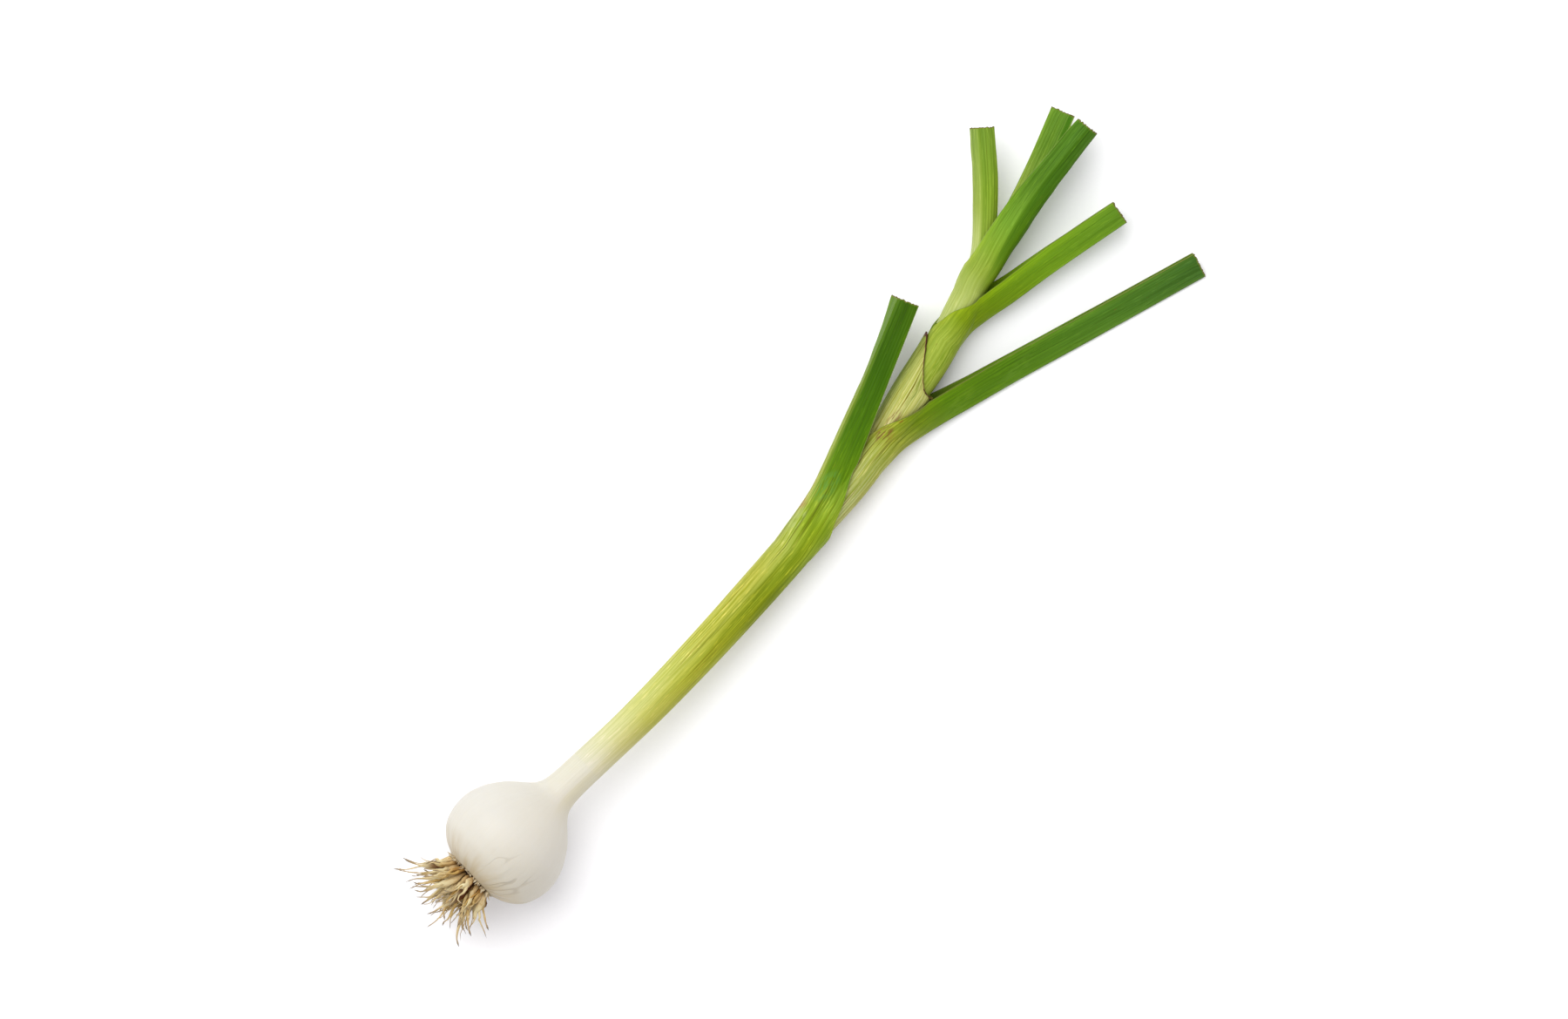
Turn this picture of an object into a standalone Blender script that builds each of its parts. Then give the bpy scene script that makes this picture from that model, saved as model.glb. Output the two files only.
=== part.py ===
"""A green garlic plant, trimmed for the kitchen and lying on a flat surface.

The plant lies along +X, from its roots to the cut ends of its leaves, and +Z is up. The origin is
on the small flat that the bulb rests on, below its axis. Every leaf is one piece, as it grew: a tube,
the sheath, which opens at its mouth into a keeled blade. The sheaths stand one inside the next.
"""

import math
import random
from collections import namedtuple

import bmesh
import bpy
import numpy as np
from mathutils import Matrix, Vector

MM = 0.001

# General sizes
WALL = 0.6 * MM            # thickness of a leaf, sheath and blade alike
GAP = 0.3 * MM             # clearance between a sheath and the one inside it
ARM_COLUMNS = 8            # faces from a leaf's keel to each of its margins
ROW_SPACING = 13 * MM      # between cross sections along a straight sheath
MOUTH_SPACING = 3.6 * MM   # between cross sections where a sheath opens
BLADE_SPACING = 11 * MM    # between cross sections along a blade

# Bulb, turned about its own axis
PLATE_POINT = Vector((-17.5, 1.95, 22.45)) * MM   # middle of the bulb's root end
BULB_HEADING = math.radians(-6.5)   # turn of its axis from +X, seen from above
BULB_PITCH = math.radians(4.1)      # its axis falls towards the neck
SOCKET_FOOT = 41.1 * MM    # from the root end to the bottom of the socket in the neck
PLUG_RADIUS = 4.75 * MM    # the middle of the outermost sheath, which stands in that socket
PLUG_FOOT = 24.0           # x of its end, in millimetres
BULB_STEPS = 40
BULB_PROFILE = [           # distance from the root end and radius, in millimetres
    (0.0, 9.9), (0.6, 11.3), (1.9, 14.3), (3.5, 16.6), (5.0, 18.2), (7.2, 19.8), (10.0, 20.9),
    (13.0, 21.6), (16.0, 21.8), (19.0, 21.5), (22.0, 20.6), (25.0, 19.3), (28.0, 17.4), (31.0, 15.1),
    (34.0, 12.0), (36.0, 9.8), (38.0, 8.0), (40.0, 7.0), (43.0, 6.4), (47.0, 6.15), (53.8, 6.05),
]

# Basal plate and roots
PLATE_RADIUS = 9.0 * MM
PLATE_DEPTH = 2.2 * MM     # how deep the plate is set in the bulb
PLATE_DOME = 1.9 * MM      # how far it stands out in the middle
PLATE_STEPS = 24
ROOT_COUNT = 64
ROOT_JOINTS = 5
ROOT_LENGTHS = (16 * MM, 25 * MM)
ROOT_RADII = (0.95 * MM, 0.32 * MM) # at the plate and at the tip
ROOT_RING = 8.2 * MM                # how far from the middle of the plate the outermost ones grow
ROOT_SPREAD = math.radians(30)      # lean of the outermost roots from the bulb's axis
ROOT_SEED = 11

# The line through the middle of the stem: x, y, z
STEM_AXIS = [
    (20.0, -2.3, 19.8),
    (36.0, -4.2, 18.6),
    (60.0, -7.0, 16.8),
    (90.0, -9.1, 14.6),
    (120.0, -10.3, 12.4),
    (150.0, -10.9, 10.1),
    (170.0, -11.1, 8.4),
    (190.0, -9.2, 7.1),
    (205.0, -7.3, 7.4),
    (220.0, -5.6, 8.0),
    (240.0, -1.6, 9.7),
    (254.0, 1.3, 11.5),
    (270.0, 3.2, 13.6),
]

# A sheath: x, inner radius. A blade: x, y and z of the inside of its keel, the way that the keel
# points (degrees about the leaf's run, 0 is +Y and 90 is up), the fold at the keel and the further
# turn of each arm (degrees), and the width of its arms, the first being the arm on the keel's
# counter-clockwise side, looking back along the leaf from its tip. The second arm turns less by flat.
Tube = namedtuple("Tube", "x radius")
Blade = namedtuple("Blade", "x y z keel fold turn arm other flat", defaults=(0.0,))
Leaf = namedtuple("Leaf", "name keel tubes blades")

LEAVES = [
    Leaf(
        "leaf_1", 52.0,
        [Tube(36.3, 5.45), Tube(50, 5.4), Tube(70, 5.65), Tube(95, 5.95), Tube(120, 6.2), Tube(138, 6.3)],
        [
            Blade(144, -5.9, 16.3, 52, 6, 150, 14.2, 16.6),
            Blade(151, -4.9, 16.5, 52, 14, 112, 11.6, 13.0),
            Blade(160, -3.3, 16.6, 52, 26, 62, 10.8, 10.2),
            Blade(170, -0.7, 16.6, 52, 34, 30, 9.6, 9.0),
            Blade(182, 2.7, 16.5, 52, 38, 16, 8.8, 8.3),
            Blade(200, 7.7, 16.5, 52, 40, 12, 7.6, 7.7),
            Blade(214, 12.1, 17.0, 52, 40, 12, 7.3, 7.6, 6),
            Blade(228.8, 16.9, 17.5, 52, 40, 12, 7.2, 7.6, 24),
        ],
    ),
    Leaf(
        "leaf_2", 194.0,
        [Tube(126, 5.2), Tube(138, 5.2), Tube(150, 5.5), Tube(165, 5.8), Tube(179, 6.1)],
        [
            Blade(184, -16.7, 6.2, 194, 6, 140, 15.8, 15.8),
            Blade(190, -17.3, 5.2, 194, 16, 104, 13.4, 13.4),
            Blade(197, -19.1, 4.2, 194, 30, 66, 12.4, 12.4),
            Blade(205, -21.7, 3.2, 194, 44, 36, 11.2, 11.6),
            Blade(216, -25.7, 2.2, 194, 54, 22, 10.1, 11.1),
            Blade(232, -31.5, 1.5, 194, 58, 18, 9.4, 10.7),
            Blade(260, -42.3, 1.1, 194, 60, 16, 9.1, 10.5),
            Blade(303.3, -58.8, 1.0, 194, 60, 16, 8.8, 10.2),
        ],
    ),
    Leaf(
        "leaf_3", 12.0,
        [Tube(167, 4.95), Tube(179, 4.95), Tube(190, 5.3), Tube(200, 5.9), Tube(212, 6.4), Tube(227, 6.4)],
        [],
    ),
    Leaf(
        "leaf_4", 196.0,
        [Tube(197, 4.75), Tube(208, 5.2), Tube(218, 5.45), Tube(227, 5.4)],
        [
            Blade(231, -9.3, 6.5, 196, 8, 138, 13.6, 13.4),
            Blade(236, -9.3, 6.6, 196, 22, 92, 11.6, 11.9),
            Blade(242, -10.5, 7.0, 195, 34, 52, 10.6, 11.0),
            Blade(252, -13.3, 7.9, 193, 44, 28, 9.8, 10.9),
            Blade(268, -17.2, 9.1, 190, 48, 18, 9.3, 11.1),
            Blade(299.5, -25.9, 11.2, 188, 48, 16, 9.0, 10.9),
        ],
    ),
    Leaf(
        "leaf_5", 118.0,
        [Tube(215, 4.25), Tube(227, 4.3), Tube(238, 4.75), Tube(245, 4.9)],
        [
            Blade(250, -1.4, 15.7, 116, 0, 164, 14.4, 11.6, 36),
            Blade(254, -0.9, 16.7, 114, 2, 140, 12.6, 8.8, 60),
            Blade(258, -0.2, 17.3, 112, 4, 112, 10.9, 7.8, 62),
            Blade(263, 0.9, 17.7, 108, 8, 88, 9.2, 7.2, 46),
            Blade(271, 2.4, 18.4, 102, 10, 68, 7.6, 6.8, 24),
            Blade(284, 4.1, 19.4, 98, 12, 52, 6.4, 6.2),
            Blade(300, 4.7, 20.6, 96, 12, 48, 5.2, 5.4),
            Blade(315.4, 5.0, 21.8, 96, 12, 46, 4.7, 4.6),
        ],
    ),
    Leaf(
        "leaf_6", 66.0,
        [Tube(236, 3.8), Tube(242, 3.85), Tube(247, 3.9)],
        [
            Blade(251, 2.6, 14.5, 64, 4, 106, 7.5, 9.6, -28),
            Blade(255, 4.2, 14.5, 64, 8, 70, 5.4, 8.0, -26),
            Blade(260, 6.9, 14.3, 66, 14, 60, 5.1, 6.8, -8),
            Blade(267, 12.0, 14.3, 68, 18, 54, 5.5, 6.0),
            Blade(276, 19.4, 14.5, 70, 18, 46, 5.7, 5.4),
            Blade(291.3, 33.8, 15.3, 70, 18, 42, 5.5, 5.0),
        ],
    ),
    Leaf(
        "leaf_7", 238.0,
        [Tube(243, 2.8), Tube(251, 2.8)],
        [
            Blade(255, 0.0, 8.0, 238, 6, 110, 6.4, 4.6, 14),
            Blade(264, 1.0, 8.4, 237, 22, 62, 6.2, 5.0),
            Blade(275, 2.6, 8.7, 236, 30, 30, 6.1, 5.6),
            Blade(295, 7.1, 9.6, 235, 32, 18, 6.3, 5.2),
            Blade(315.2, 12.6, 11.0, 235, 32, 16, 6.8, 4.8),
        ],
    ),
]

# leaf_3 was cut at its collar: its mouth slants from its keel side back to the other side
CUT_MOUTH_START = 195.0    # x from which the sheath's cross sections begin to slant, in millimetres
CUT_MOUTH_LOW = 208.0      # x of the mouth on the side away from the keel
CUT_MOUTH_END = 227.0      # x of the mouth on the keel side
CUT_MOUTH_POWER = 2.2

# Finishes
BULB_WHITE = (0.80, 0.78, 0.68)
ROOT_TAN = (0.47, 0.33, 0.17)
STEM_GREEN = (0.28, 0.42, 0.05)
LEAF_DARK_GREEN = (0.20, 0.34, 0.03)
LEAF_BRIGHT_GREEN = (0.30, 0.44, 0.05)
SHEATH_PALE_GREEN = (0.45, 0.50, 0.14)


def clear_scene():
    """Take away whatever the scene holds."""
    for old in list(bpy.data.objects):
        bpy.data.objects.remove(old, do_unlink=True)


def new_collection(name):
    """A collection under the scene's own."""
    group = bpy.data.collections.new(name)
    bpy.context.scene.collection.children.link(group)
    return group


def finish(name, colour, roughness):
    """A plain material with this base colour."""
    material = bpy.data.materials.new(name)
    material.use_nodes = True
    shader = material.node_tree.nodes["Principled BSDF"]
    shader.inputs["Base Color"].default_value = (*colour, 1.0)
    shader.inputs["Roughness"].default_value = roughness
    shader.inputs["Metallic"].default_value = 0.0
    return material


def bulb_white():
    return finish("bulb_white", BULB_WHITE, 0.36)


def root_tan():
    return finish("root_tan", ROOT_TAN, 0.8)


def stem_green():
    return finish("stem_green", STEM_GREEN, 0.42)


def leaf_dark_green():
    return finish("leaf_dark_green", LEAF_DARK_GREEN, 0.4)


def leaf_bright_green():
    return finish("leaf_bright_green", LEAF_BRIGHT_GREEN, 0.4)


def sheath_pale_green():
    return finish("sheath_pale_green", SHEATH_PALE_GREEN, 0.5)


def leaf_finishes():
    """The material of every leaf: two darker blades, two brighter ones, a pale sheath and the stem."""
    dark, bright = leaf_dark_green(), leaf_bright_green()
    return {
        "leaf_1": stem_green(),
        "leaf_2": dark,
        "leaf_3": sheath_pale_green(),
        "leaf_4": bright,
        "leaf_5": dark,
        "leaf_6": bright,
        "leaf_7": dark,
    }


def dress(thing, material):
    """Give a finished piece its one material and smooth shading."""
    thing.data.materials.clear()
    thing.data.materials.append(material)
    thing.data.shade_smooth()


def add_object(name, mesh, group):
    """An object with this mesh in this collection."""
    made = bpy.data.objects.new(name, mesh)
    group.objects.link(made)
    return made


def mesh_of(built, name):
    """A mesh made from a bmesh, which is then freed."""
    mesh = bpy.data.meshes.new(name)
    built.to_mesh(mesh)
    built.free()
    return mesh


def baked(thing):
    """The mesh that an object's modifiers leave, as a mesh of its own."""
    bpy.context.view_layer.update()
    evaluated = thing.evaluated_get(bpy.context.evaluated_depsgraph_get())
    return bpy.data.meshes.new_from_object(evaluated)


def bake_modifiers(thing):
    """Put the result of an object's modifiers in its mesh and take the modifiers off."""
    thing.data = baked(thing)
    thing.modifiers.clear()


def boolean(thing, other, operation):
    """Join or cut an object with another one, which stays hidden until it is removed."""
    change = thing.modifiers.new(operation.lower(), "BOOLEAN")
    change.operation = operation
    change.solver = "EXACT"
    change.object = other
    bake_modifiers(thing)
    bpy.data.objects.remove(other, do_unlink=True)


def hide(helper):
    """Leave a cutter or a filler out of the render."""
    helper.hide_render = True
    helper.display_type = "WIRE"


def through(stations, values, at):
    """Values at the given stations, on a smooth curve through the known ones."""
    known = np.asarray(stations, float)
    rows = np.asarray(values, float)
    steps = np.diff(known)[:, None]
    slopes = np.diff(rows, axis=0) / steps
    tangents = np.empty_like(rows)
    tangents[0], tangents[-1] = slopes[0], slopes[-1]
    tangents[1:-1] = (slopes[:-1] * steps[1:] + slopes[1:] * steps[:-1]) / (steps[1:] + steps[:-1])
    at = np.clip(np.asarray(at, float), known[0], known[-1])
    span = np.clip(np.searchsorted(known, at, side="right") - 1, 0, len(known) - 2)
    width = (known[span + 1] - known[span])[:, None]
    t = (at - known[span])[:, None] / width
    return (
        (2 * t**3 - 3 * t**2 + 1) * rows[span]
        + (t**3 - 2 * t**2 + t) * width * tangents[span]
        + (3 * t**2 - 2 * t**3) * rows[span + 1]
        + (t**3 - t**2) * width * tangents[span + 1]
    )


def stem_middle(at):
    """y and z of the stem's middle line at each x, in millimetres."""
    axis = np.array(STEM_AXIS)
    return through(axis[:, 0], axis[:, 1:], at)


def tube_radius(leaf, at):
    """Inner radius of a leaf's sheath at each x, in millimetres."""
    return through([tube.x for tube in leaf.tubes], [[tube.radius] for tube in leaf.tubes], at)[:, 0]


def tube_row(leaf, x):
    """A closed sheath at one place, as a blade whose arms bend round until they meet."""
    y, z = stem_middle([x])[0]
    radius = tube_radius(leaf, [x])[0]
    keel = math.radians(leaf.keel)
    half = math.pi * radius
    side, up = radius * math.cos(keel), radius * math.sin(keel)
    return Blade(x, y + side, z + up, leaf.keel, 0.0, 180.0, half, half)


def row_places(leaf):
    """x of every cross section of a leaf, closer together where it opens."""
    start, mouth = leaf.tubes[0].x, leaf.tubes[-1].x
    count = max(3, round((mouth - start) * MM / ROW_SPACING) + 1)
    closed = list(np.linspace(start, mouth, count))
    if not leaf.blades:
        return closed, []
    opened = leaf.blades[min(2, len(leaf.blades) - 1)].x
    end = leaf.blades[-1].x
    near = list(np.linspace(mouth, opened, round((opened - mouth) * MM / MOUTH_SPACING) + 1))
    far = list(np.linspace(opened, end, round((end - opened) * MM / BLADE_SPACING) + 1))
    return closed, near[1:] + far[1:]


def arm(fold, turn, width, columns):
    """Places along one arm of a section, from the keel: how far to the side and how far back."""
    fold, turn = math.radians(fold), math.radians(turn)
    side, back = [0.0], [0.0]
    fine = 6
    step = width / (columns * fine)
    for index in range(columns * fine):
        angle = fold + turn * (index + 0.5) / (columns * fine)
        side.append(side[-1] + step * math.cos(angle))
        back.append(back[-1] + step * math.sin(angle))
    return side[::fine], back[::fine]


def section(row, ahead):
    """Points across a leaf at one row, from one margin over the keel to the other, in millimetres."""
    left = Vector((0, 0, 1)).cross(ahead).normalized()
    up = ahead.cross(left)
    keel = math.radians(row.keel)
    out = left * math.cos(keel) + up * math.sin(keel)
    side = up * math.cos(keel) - left * math.sin(keel)
    middle = Vector((row.x, row.y, row.z))
    one = arm(row.fold, row.turn, row.arm, ARM_COLUMNS)
    two = arm(row.fold, row.turn - row.flat, row.other, ARM_COLUMNS)
    first = [middle + side * s - out * b for s, b in zip(*one)]
    second = [middle - side * s - out * b for s, b in zip(*two)]
    return second[:0:-1] + first


def clear_of_inner(points, inner):
    """Move points that would stand in the sheath inside this leaf out to its surface."""
    if inner is None:
        return points
    moved = []
    for point in points:
        if point.x < inner.tubes[0].x or point.x > inner.tubes[-1].x:
            moved.append(point)
            continue
        y, z = stem_middle([point.x])[0]
        needed = tube_radius(inner, [point.x])[0] + (WALL + 2 * GAP) / MM
        away = Vector((0, point.y - y, point.z - z))
        if away.length < needed:
            away *= needed / away.length
            point = Vector((point.x, y + away.y, z + away.z))
        moved.append(point)
    return moved


def above_surface(points):
    """Keep the outside of a leaf from going below the surface that the plant lies on."""
    lowest = WALL / MM
    return [Vector((point.x, point.y, max(point.z, lowest))) for point in points]


def slanted(points, x):
    """leaf_3's cut mouth: each point of a late row slides back, the further from the keel the more."""
    low, end = CUT_MOUTH_LOW, CUT_MOUTH_END
    share = max(0.0, (x - CUT_MOUTH_START) / (end - CUT_MOUTH_START))
    moved = []
    for index, point in enumerate(points):
        angle = math.pi * (index - ARM_COLUMNS) / ARM_COLUMNS
        mouth = low + (end - low) * ((1 + math.cos(angle)) / 2) ** CUT_MOUTH_POWER
        shift = (mouth - end) * share**2
        y0, z0 = stem_middle([point.x])[0]
        y1, z1 = stem_middle([point.x + shift])[0]
        moved.append(point + Vector((shift, y1 - y0, z1 - z0)))
    return moved


def sheet(leaf, inner):
    """The inside surface of a leaf as an open bmesh, its faces pointing outwards."""
    rows = [tube_row(leaf, tube.x) for tube in leaf.tubes] + leaf.blades
    known = [row.x for row in rows]
    values = [list(row)[1:] for row in rows]
    closed, opened = row_places(leaf)
    built = bmesh.new()
    lines = []
    for index, place in enumerate(closed + opened):
        near = np.clip([place - 0.5, place + 0.5], known[0], known[-1])
        behind, ahead = through(known, values, near)[:, :2]
        way = Vector((near[1] - near[0], *(ahead - behind))).normalized()
        if index < len(closed):
            points = section(tube_row(leaf, place), way)
            points[0] = points[-1] = (points[0] + points[-1]) / 2
            middle = sum(points[1:], Vector()) / (len(points) - 1)
            shift = Vector((place, *stem_middle([place])[0])) - middle
            points = [point + shift for point in points]
            if not leaf.blades:
                points = slanted(points, place)
        else:
            row = Blade(place, *through(known, values, [place])[0])
            points = clear_of_inner(section(row, way), inner)
        points = above_surface(points)
        corners = [built.verts.new(point * MM) for point in points[:-1]]
        corners.append(corners[0] if index < len(closed) else built.verts.new(points[-1] * MM))
        lines.append(corners)
    for behind_line, ahead_line in zip(lines, lines[1:]):
        for a, b, c, d in zip(behind_line, behind_line[1:], ahead_line[1:], ahead_line):
            built.faces.new((a, b, c, d))
    return built


def rod(name, points, radii, group, rounding):
    """A closed solid rod through these points, its thickness changing along it."""
    line = bpy.data.curves.new(name, "CURVE")
    line.dimensions = "3D"
    line.bevel_depth = 1.0
    line.bevel_resolution = rounding
    line.use_fill_caps = True
    spline = line.splines.new("POLY")
    spline.points.add(len(points) - 1)
    for place, point, radius in zip(spline.points, points, radii):
        place.co = (*point, 1.0)
        place.radius = radius
    guide = add_object(name + "_line", line, group)
    solid = add_object(name, baked(guide), group)
    bpy.data.objects.remove(guide, do_unlink=True)
    welded = bmesh.new()
    welded.from_mesh(solid.data)
    bmesh.ops.remove_doubles(welded, verts=welded.verts, dist=1e-6)
    bmesh.ops.recalc_face_normals(welded, faces=welded.faces)
    welded.to_mesh(solid.data)
    welded.free()
    hide(solid)
    return solid


def filling(leaf, group, until):
    """The solid middle of a sheath: what it holds below the foot of the next leaf."""
    start = leaf.tubes[0].x
    places = [start - 1.0, start + 1.0]
    if leaf is LEAVES[0]:
        places = [PLUG_FOOT, start + 0.3, start + 1.3]
    count = max(1, round((until - places[-1]) * MM / ROW_SPACING))
    places += list(np.linspace(places[-1], until, count + 1))[1:]
    points = [Vector((x, y, z)) * MM for x, (y, z) in zip(places, stem_middle(places))]
    radii = list(tube_radius(leaf, places) * MM + WALL / 2)
    if leaf is LEAVES[0]:
        radii[:2] = [PLUG_RADIUS, PLUG_RADIUS]
    return rod(leaf.name + "_middle", points, radii, group, 6)


def make_leaf(leaf, inner, material, parts, cutters):
    """One leaf: its sheath, solid up to the foot of the next leaf, and its blade."""
    skin = add_object(leaf.name, mesh_of(sheet(leaf, inner), leaf.name), parts)
    wall = skin.modifiers.new("wall", "SOLIDIFY")
    wall.thickness = WALL
    wall.offset = 1.0
    wall.use_even_offset = False
    bake_modifiers(skin)
    until = inner.tubes[0].x - 1.6 if inner else leaf.tubes[-1].x - 2.0
    boolean(skin, filling(leaf, cutters, until), "UNION")
    dress(skin, material)


def make_leaves(parts, cutters):
    """All leaves, the outermost first."""
    finishes = leaf_finishes()
    for leaf, inner in zip(LEAVES, LEAVES[1:] + [None]):
        make_leaf(leaf, inner, finishes[leaf.name], parts, cutters)


def bulb_frame():
    """Where the bulb stands: its root end at the origin and its axis on +Z, moved to their places."""
    turn = Matrix.Rotation(BULB_HEADING, 4, "Z") @ Matrix.Rotation(math.pi / 2 + BULB_PITCH, 4, "Y")
    return Matrix.Translation(PLATE_POINT) @ turn


def turned(name, profile, steps, group):
    """A closed solid turned from a profile of distances along the axis and radii, ends on the axis."""
    outline = bmesh.new()
    corners = [outline.verts.new((radius, 0.0, along)) for along, radius in reversed(profile)]
    for a, b in zip(corners, corners[1:]):
        outline.edges.new((a, b))
    solid = add_object(name, mesh_of(outline, name), group)
    screw = solid.modifiers.new("turn", "SCREW")
    screw.axis = "Z"
    screw.angle = math.tau
    screw.steps = steps
    screw.render_steps = steps
    screw.use_merge_vertices = True
    screw.merge_threshold = 1e-6
    screw.use_normal_calculate = True
    bake_modifiers(solid)
    closed = bmesh.new()
    closed.from_mesh(solid.data)
    bmesh.ops.remove_doubles(closed, verts=closed.verts, dist=1e-6)
    bmesh.ops.recalc_face_normals(closed, faces=closed.faces)
    closed.to_mesh(solid.data)
    closed.free()
    return solid


def cylinder(name, start, end, radius, steps, group):
    """A cutter round the bulb's axis, between two distances from its root end."""
    cutter = turned(name, [(start, 0.0), (start, radius), (end, radius), (end, 0.0)], steps, group)
    cutter.data.transform(bulb_frame())
    hide(cutter)
    return cutter


def below_surface(group):
    """A block that takes away what would be under the surface that the plant lies on."""
    built = bmesh.new()
    bmesh.ops.create_cube(built, size=1.0)
    bmesh.ops.scale(built, vec=(0.08, 0.08, 0.02), verts=built.verts)
    bmesh.ops.translate(built, vec=(0.0, 0.0, -0.01), verts=built.verts)
    block = add_object("below_surface", mesh_of(built, "below_surface"), group)
    hide(block)
    return block


def make_bulb(parts, cutters):
    """The bulb with its neck, flat where it rests, with places for the basal plate and the stem."""
    profile = [(along * MM, radius * MM) for along, radius in BULB_PROFILE]
    end = profile[-1][0]
    bulb = turned("bulb", [(0.0, 0.0)] + profile + [(end, 0.0)], BULB_STEPS, parts)
    bulb.data.transform(bulb_frame())
    recess = cylinder("plate_recess", -2 * MM, PLATE_DEPTH + GAP, PLATE_RADIUS + GAP, PLATE_STEPS, cutters)
    boolean(bulb, recess, "DIFFERENCE")
    socket = cylinder("neck_socket", SOCKET_FOOT, end + 2 * MM, PLUG_RADIUS + GAP, 16, cutters)
    boolean(bulb, socket, "DIFFERENCE")
    boolean(bulb, below_surface(cutters), "DIFFERENCE")
    dress(bulb, bulb_white())


def dome(distance):
    """How far the basal plate stands out at this distance from its middle."""
    return PLATE_DOME * (1 - (distance / PLATE_RADIUS) ** 2)


def root_line(index, chance):
    """Points along one root, in the bulb's frame, where the roots grow towards -Z."""
    share = math.sqrt((index + 0.5) / ROOT_COUNT)
    angle = index * math.pi * (3 - math.sqrt(5)) + chance.uniform(-0.25, 0.25)
    start = Vector((math.cos(angle), math.sin(angle), 0.0)) * share * ROOT_RING
    lean = ROOT_SPREAD * share * (1 + 0.3 * math.sin(angle)) * chance.uniform(0.55, 1.15)
    way = Vector((math.cos(angle) * math.sin(lean), math.sin(angle) * math.sin(lean), -math.cos(lean)))
    bend = Vector((chance.uniform(-1, 1), chance.uniform(-1, 1), 0.0)) * 0.10
    length = chance.uniform(*ROOT_LENGTHS) * (1.0 - 0.22 * share**4)
    step = length / ROOT_JOINTS
    point = start - Vector((0.0, 0.0, dome(start.length))) - way * 1.2 * MM
    points = [point.copy()]
    for _ in range(ROOT_JOINTS):
        point += way * step
        points.append(point.copy())
        way = (way + bend).normalized()
        bend += Vector((chance.uniform(-1, 1), chance.uniform(-1, 1), 0.0)) * 0.05
    return points


def make_roots(parts, cutters):
    """The basal plate and the roots that grow from it, fused into one piece."""
    low = PLATE_DEPTH
    rim = [(low, 0.0), (low, PLATE_RADIUS)]
    rings = [(-dome(PLATE_RADIUS * share), PLATE_RADIUS * share) for share in (1.0, 0.8, 0.5, 0.0)]
    roots = turned("roots", rings[::-1] + rim[::-1], PLATE_STEPS, parts)
    root_set = new_collection("root_set")
    chance = random.Random(ROOT_SEED)
    for index in range(ROOT_COUNT):
        points = root_line(index, chance)
        size = chance.uniform(0.82, 1.12)
        thick, thin = ROOT_RADII
        radii = [(thick + (thin - thick) * step / ROOT_JOINTS) * size for step in range(ROOT_JOINTS + 1)]
        rod(f"root_{index:02d}", points, radii, root_set, 0)
    join = roots.modifiers.new("fuse", "BOOLEAN")
    join.operation = "UNION"
    join.solver = "EXACT"
    join.operand_type = "COLLECTION"
    join.collection = root_set
    bake_modifiers(roots)
    for one in list(root_set.objects):
        bpy.data.objects.remove(one, do_unlink=True)
    bpy.data.collections.remove(root_set)
    roots.data.transform(bulb_frame())
    dress(roots, root_tan())


def main():
    clear_scene()
    parts = new_collection("green_garlic")
    cutters = new_collection("cutters")
    make_bulb(parts, cutters)
    make_roots(parts, cutters)
    make_leaves(parts, cutters)


main()
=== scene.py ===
# %% [markdown]
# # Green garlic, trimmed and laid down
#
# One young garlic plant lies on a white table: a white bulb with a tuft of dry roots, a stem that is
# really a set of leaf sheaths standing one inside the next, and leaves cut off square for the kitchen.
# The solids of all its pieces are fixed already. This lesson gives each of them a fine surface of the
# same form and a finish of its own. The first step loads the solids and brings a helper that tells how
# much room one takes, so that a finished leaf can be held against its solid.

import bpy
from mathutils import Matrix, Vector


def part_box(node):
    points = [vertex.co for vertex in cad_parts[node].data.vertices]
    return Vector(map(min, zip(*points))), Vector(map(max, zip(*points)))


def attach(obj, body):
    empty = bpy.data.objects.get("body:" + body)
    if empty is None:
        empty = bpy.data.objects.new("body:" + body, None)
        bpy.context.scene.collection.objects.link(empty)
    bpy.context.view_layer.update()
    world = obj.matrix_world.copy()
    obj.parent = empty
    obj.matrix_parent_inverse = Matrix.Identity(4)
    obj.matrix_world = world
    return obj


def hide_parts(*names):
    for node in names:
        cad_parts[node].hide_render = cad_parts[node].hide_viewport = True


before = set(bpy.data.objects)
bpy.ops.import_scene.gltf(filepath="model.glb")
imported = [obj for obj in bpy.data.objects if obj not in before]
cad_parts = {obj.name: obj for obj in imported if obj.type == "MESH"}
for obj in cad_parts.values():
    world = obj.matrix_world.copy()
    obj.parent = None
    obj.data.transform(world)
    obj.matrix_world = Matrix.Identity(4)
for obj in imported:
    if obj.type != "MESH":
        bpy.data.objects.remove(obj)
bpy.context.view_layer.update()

# %% Modules and the unit of this lesson
import math
import random
from collections import namedtuple

import bmesh
import bpy
import numpy as np
from mathutils import Matrix, Vector, noise

MM = 0.001
FULL_TURN = 2 * math.pi
print("sizes below are in millimetres; one millimetre is", MM, "of Blender's units")

# %% [markdown]
# ## Smooth curves through a few known values
#
# A plant has hardly a straight line in it. A gardener would describe a stem by a few stations: here
# it is this thick, there it leans that way. The same is done here. Every size of a leaf is known at a
# few places along the plant and read in between from a smooth curve. A Hermite curve was chosen
# rather than a B-spline because it passes through every known value.

# %% A curve through known values


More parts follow.
